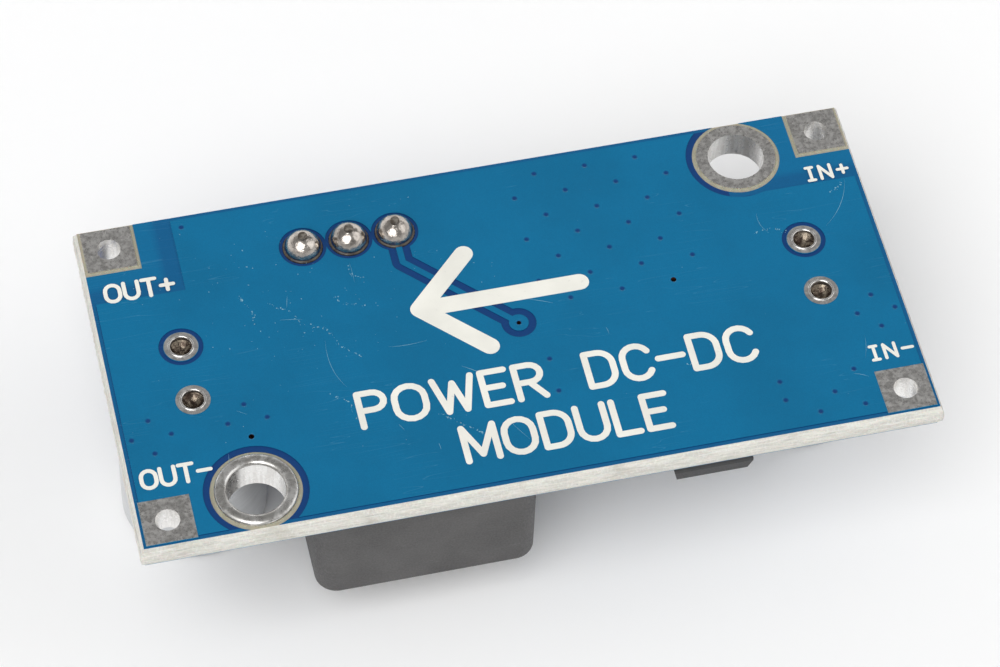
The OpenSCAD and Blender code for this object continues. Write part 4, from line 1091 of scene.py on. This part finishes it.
def skirt(form, centre, size, height, reach, steps=5):
    """A concave apron of solder round a rectangular foot on the component side."""
    def ring(grow, level):
        w, l, r = size[0] / 2 + grow, size[1] / 2 + grow, 0.05 * MM + grow
        loop = []
        x, y = w - r, l - r
        for cx, cy, start in ((x, y, 0), (-x, y, 90), (-x, -y, 180), (x, -y, 270)):
            for k in range(4):
                t = math.radians(start + 30 * k)
                loop.append(form.verts.new((centre[0] + cx + r * math.cos(t),
                                            centre[1] + cy + r * math.sin(t), level)))
        return loop

    rings = []
    for i in range(steps + 1):
        s = i / steps
        rings.append(ring(reach * (1 - s) ** 1.8 - 0.005 * MM, LAND_BELOW - height * s))
    for a, b in zip(rings, rings[1:]):
        bridge(form, a, b)
    form.faces.new(rings[0][::-1])
    form.faces.new(rings[-1])


# ---- wear ----

class CONVERTER_OT_wear(bpy.types.Operator):
    """Fine hairline scratches and dust on the mask"""
    bl_idname = "converter.wear"
    bl_label = "Scratches And Dust"

    def execute(self, context):
        draw = random.Random(7)
        f = Finish("scuffed_mask")
        tone = f.blend(f.clouds(0.3 * MM), (0.10, 0.34, 0.46), (0.34, 0.54, 0.62))
        f.coat(tone, 0.2, (0.5, 0.7), 0.05, 0.004)
        form = bmesh.new()
        marks = [
            (Vector((20.45, 5.3)), Vector((20.1, 3.6)), Vector((18.6, 2.4))),
            (Vector((-7.3, 5.3)), Vector((-7.25, 4.6)), Vector((-7.3, 3.95))),
            (Vector((-9.6, 0.6)), Vector((-9.9, -1.3)), Vector((-9.1, -2.6))),
            (Vector((-6.4, -0.55)), Vector((-5.4, -0.7)), Vector((-4.3, -0.55))),
            (Vector((15.1, 4.0)), Vector((14.9, 3.3)), Vector((15.4, 2.6))),
        ]
        for _ in range(12):
            a = Vector((draw.uniform(-19, 19), draw.uniform(-8.5, 8.5)))
            turn, far = draw.uniform(0, math.pi), draw.uniform(0.4, 1.8)
            step = Vector((math.cos(turn), math.sin(turn))) * far
            bow = step.orthogonal() * draw.uniform(-0.12, 0.12)
            marks.append((a, a + step / 2 + bow, a + step))
        for a, b, c in marks:
            self.hairline(form, a * MM, b * MM, c * MM, draw.uniform(0.012, 0.026) * MM)
        piece("hairline_scratches", form, f, smooth=False)
        self.scuffs(draw, f)
        return {"FINISHED"}

    def scuffs(self, draw, finish):
        """Broken trails and loose crumbs of scraped mask."""
        trails = [
            ((-12.2, 3.6), (-10.9, 2.7), (-10.7, 1.9), (-9.4, 1.3), (-8.9, 0.1), (-7.9, -0.9)),
            ((-13.6, 4.4), (-13.0, 3.2), (-13.1, 2.3)),
            ((-8.7, 3.4), (-8.1, 2.7), (-7.0, 2.4)),
            ((-10.0, -2.9), (-9.2, -3.6), (-8.9, -4.9)),
            ((-7.4, 5.2), (-7.35, 4.4), (-6.7, 4.2)),
            ((14.6, 2.7), (15.6, 2.9), (16.4, 2.4)),
            ((-4.8, -5.2), (-3.6, -6.2), (-2.6, -7.1)),
            ((8.8, -4.9), (9.9, -5.3), (10.6, -5.2)),
            ((19.3, 4.5), (20.1, 4.9), (20.3, 5.2)),
        ]
        form = bmesh.new()
        for trail in trails:
            for a, b in zip(trail, trail[1:]):
                a, b = Vector(a), Vector(b)
                for _ in range(round((b - a).length / 0.11)):
                    spot = a.lerp(b, draw.random()) + Vector((draw.gauss(0, 0.045),
                                                              draw.gauss(0, 0.045)))
                    self.crumb(form, draw, spot, 0.010 + 0.028 * draw.random() ** 2)
        for _ in range(120):
            spot = Vector((draw.gauss(-10.5, 4.5), draw.gauss(3.0, 3.2)))
            if abs(spot.x) < 20 and abs(spot.y) < 9.6:
                self.crumb(form, draw, spot, 0.008 + 0.018 * draw.random() ** 2)
        piece("mask_scuffs", form, finish, smooth=False)

    def crumb(self, form, draw, spot, size):
        """A low ragged flake, longer than it is wide."""
        turn, long = draw.uniform(0, math.pi), draw.uniform(1.0, 2.4)
        ahead = Vector((math.cos(turn), math.sin(turn)))
        side = ahead.orthogonal()
        base, top = [], []
        for i in range(6):
            t = 2 * math.pi * i / 6
            r = size * draw.uniform(0.7, 1.2)
            p = spot + ahead * r * long * math.cos(t) + side * r * math.sin(t)
            base.append(form.verts.new((p.x * MM, p.y * MM, MASK_TOP - 0.002 * MM)))
            top.append(form.verts.new((p.x * MM, p.y * MM, MASK_TOP + 0.006 * MM)))
        form.faces.new(base[::-1])
        form.faces.new(top)
        bridge(form, base, top)

    def hairline(self, form, a, b, c, wide, steps=14):
        """A thin raised burr along a bowed line, thickest at its middle."""
        rows = []
        for i in range(steps + 1):
            s = i / steps
            p = a * (1 - s) ** 2 + b * 2 * s * (1 - s) + c * s * s
            ahead = ((b - a) * (1 - s) + (c - b) * s).normalized()
            side = ahead.orthogonal() * wide * (0.15 + 0.85 * math.sin(math.pi * s)) / 2
            rows.append([form.verts.new((p.x + k * side.x, p.y + k * side.y, MASK_TOP + rise * MM))
                         for k, rise in ((1, -0.002), (0, 0.006), (-1, -0.002))])
        for a, b in zip(rows, rows[1:]):
            bridge(form, a, b)
        form.faces.new(rows[0])
        form.faces.new(rows[-1][::-1])


# ---- studio ----

class CONVERTER_OT_studio(bpy.types.Operator):
    """Plain paper, soft lamps, even sky and the camera"""
    bl_idname = "converter.studio"
    bl_label = "Studio"

    def execute(self, context):
        looks = context.scene.studio_looks
        self.paper(looks)
        self.sky(context.scene, looks)
        self.soft_light("key_light", (-0.35, -0.45, 0.80), looks.key)
        self.soft_light("fill_light", (0.75, -0.15, 0.55), looks.fill)
        self.camera(context.scene, looks)
        context.scene.view_settings.view_transform = "Standard"
        return {"FINISHED"}

    def paper(self, looks):
        """A sheet of pale paper, flat under the module and raised all round it."""
        form = bmesh.new()
        level = CAD_BOX[0][2] - 0.02 * MM
        steps = 16
        profile = [(0.0, level), (looks.flat_reach / 2, level)]
        for i in range(steps + 1):
            turn = math.pi / 2 * i / steps
            profile.append((looks.flat_reach
                            + (looks.paper_reach - looks.flat_reach) * math.sin(turn),
                            level + looks.paper_rise * (1 - math.cos(turn))))
        lathe(form, (0.0, 0.0), profile, 96)
        f = Finish("studio_paper")
        tone = f.blend(f.clouds(0.08), looks.paper, toned(looks.paper, 0.99))
        f.set(base_color=tone, roughness=0.9, specular_ior_level=0.0)
        solid("studio_paper", form, f)

    def sky(self, scene, looks):
        """Even light all round."""
        world = bpy.data.worlds.new("studio_sky")
        world.use_nodes = True
        shade = world.node_tree.nodes["Background"].inputs
        shade["Color"].default_value = (1.0, 1.0, 1.0, 1.0)
        shade["Strength"].default_value = looks.sky
        scene.world = world

    def soft_light(self, name, place, strength):
        """A far lamp so wide that its shadows are soft."""
        light = bpy.data.lights.new(name, "SUN")
        light.energy, light.angle = strength, math.radians(50)
        made = bpy.data.objects.new(name, light)
        made.location = place
        made.rotation_euler = (-Vector(place)).to_track_quat("-Z", "Y").to_euler()
        bpy.context.scene.collection.objects.link(made)

    def camera(self, scene, looks):
        a, e, r = looks.azimuth, looks.elevation, looks.roll
        back = Vector((math.sin(a) * math.cos(e), -math.cos(a) * math.cos(e), math.sin(e)))
        level = (-back).cross(Vector((0, 0, 1))).normalized()
        upright = level.cross(-back)
        right = math.cos(r) * level + math.sin(r) * upright
        up = math.cos(r) * upright - math.sin(r) * level
        lens = bpy.data.cameras.new("camera")
        lens.lens, lens.sensor_width, lens.sensor_fit = looks.lens, 36.0, "HORIZONTAL"
        lens.clip_start, lens.clip_end = 0.01, 10.0
        made = bpy.data.objects.new("camera", lens)
        turn = Matrix((right, up, back)).transposed().to_4x4()
        spot = Vector((looks.aim_x, looks.aim_y, MASK_TOP)) + back * looks.distance
        made.matrix_world = Matrix.Translation(spot) @ turn
        scene.collection.objects.link(made)
        scene.camera = made


OPERATORS = (
    CONVERTER_OT_studio,
    CONVERTER_OT_mask,
    CONVERTER_OT_laminate,
    CONVERTER_OT_tinned_lands,
    CONVERTER_OT_solder,
    CONVERTER_OT_print,
    CONVERTER_OT_outlines,
    CONVERTER_OT_capacitors,
    CONVERTER_OT_trimmer,
    CONVERTER_OT_inductor,
    CONVERTER_OT_regulator,
    CONVERTER_OT_wear,
)


class CONVERTER_PT_looks(bpy.types.Panel):
    """Lists the steps that dress the module, and their sizes and colours"""
    bl_idname = "CONVERTER_PT_looks"
    bl_label = "Converter Module"
    bl_space_type = "VIEW_3D"
    bl_region_type = "UI"
    bl_category = "Converter"

    def draw(self, context):
        for operator in OPERATORS:
            self.layout.operator(operator.bl_idname)
        for name, group in GROUPS.items():
            box = self.layout.box()
            box.label(text=name.replace("_", " ").capitalize())
            for key in group.__annotations__:
                box.prop(getattr(context.scene, name), key)


CLASSES = (*GROUPS.values(), *OPERATORS, CONVERTER_PT_looks)


def register():
    for cls in CLASSES:
        bpy.utils.register_class(cls)
    for name, group in GROUPS.items():
        setattr(bpy.types.Scene, name, PointerProperty(type=group))


def unregister():
    for name in GROUPS:
        delattr(bpy.types.Scene, name)
    for cls in reversed(CLASSES):
        bpy.utils.unregister_class(cls)


def main():
    register()
    for operator in OPERATORS:
        step = operator.bl_idname.split(".")[1]
        getattr(bpy.ops.converter, step)()


if __name__ == "__main__":
    main()
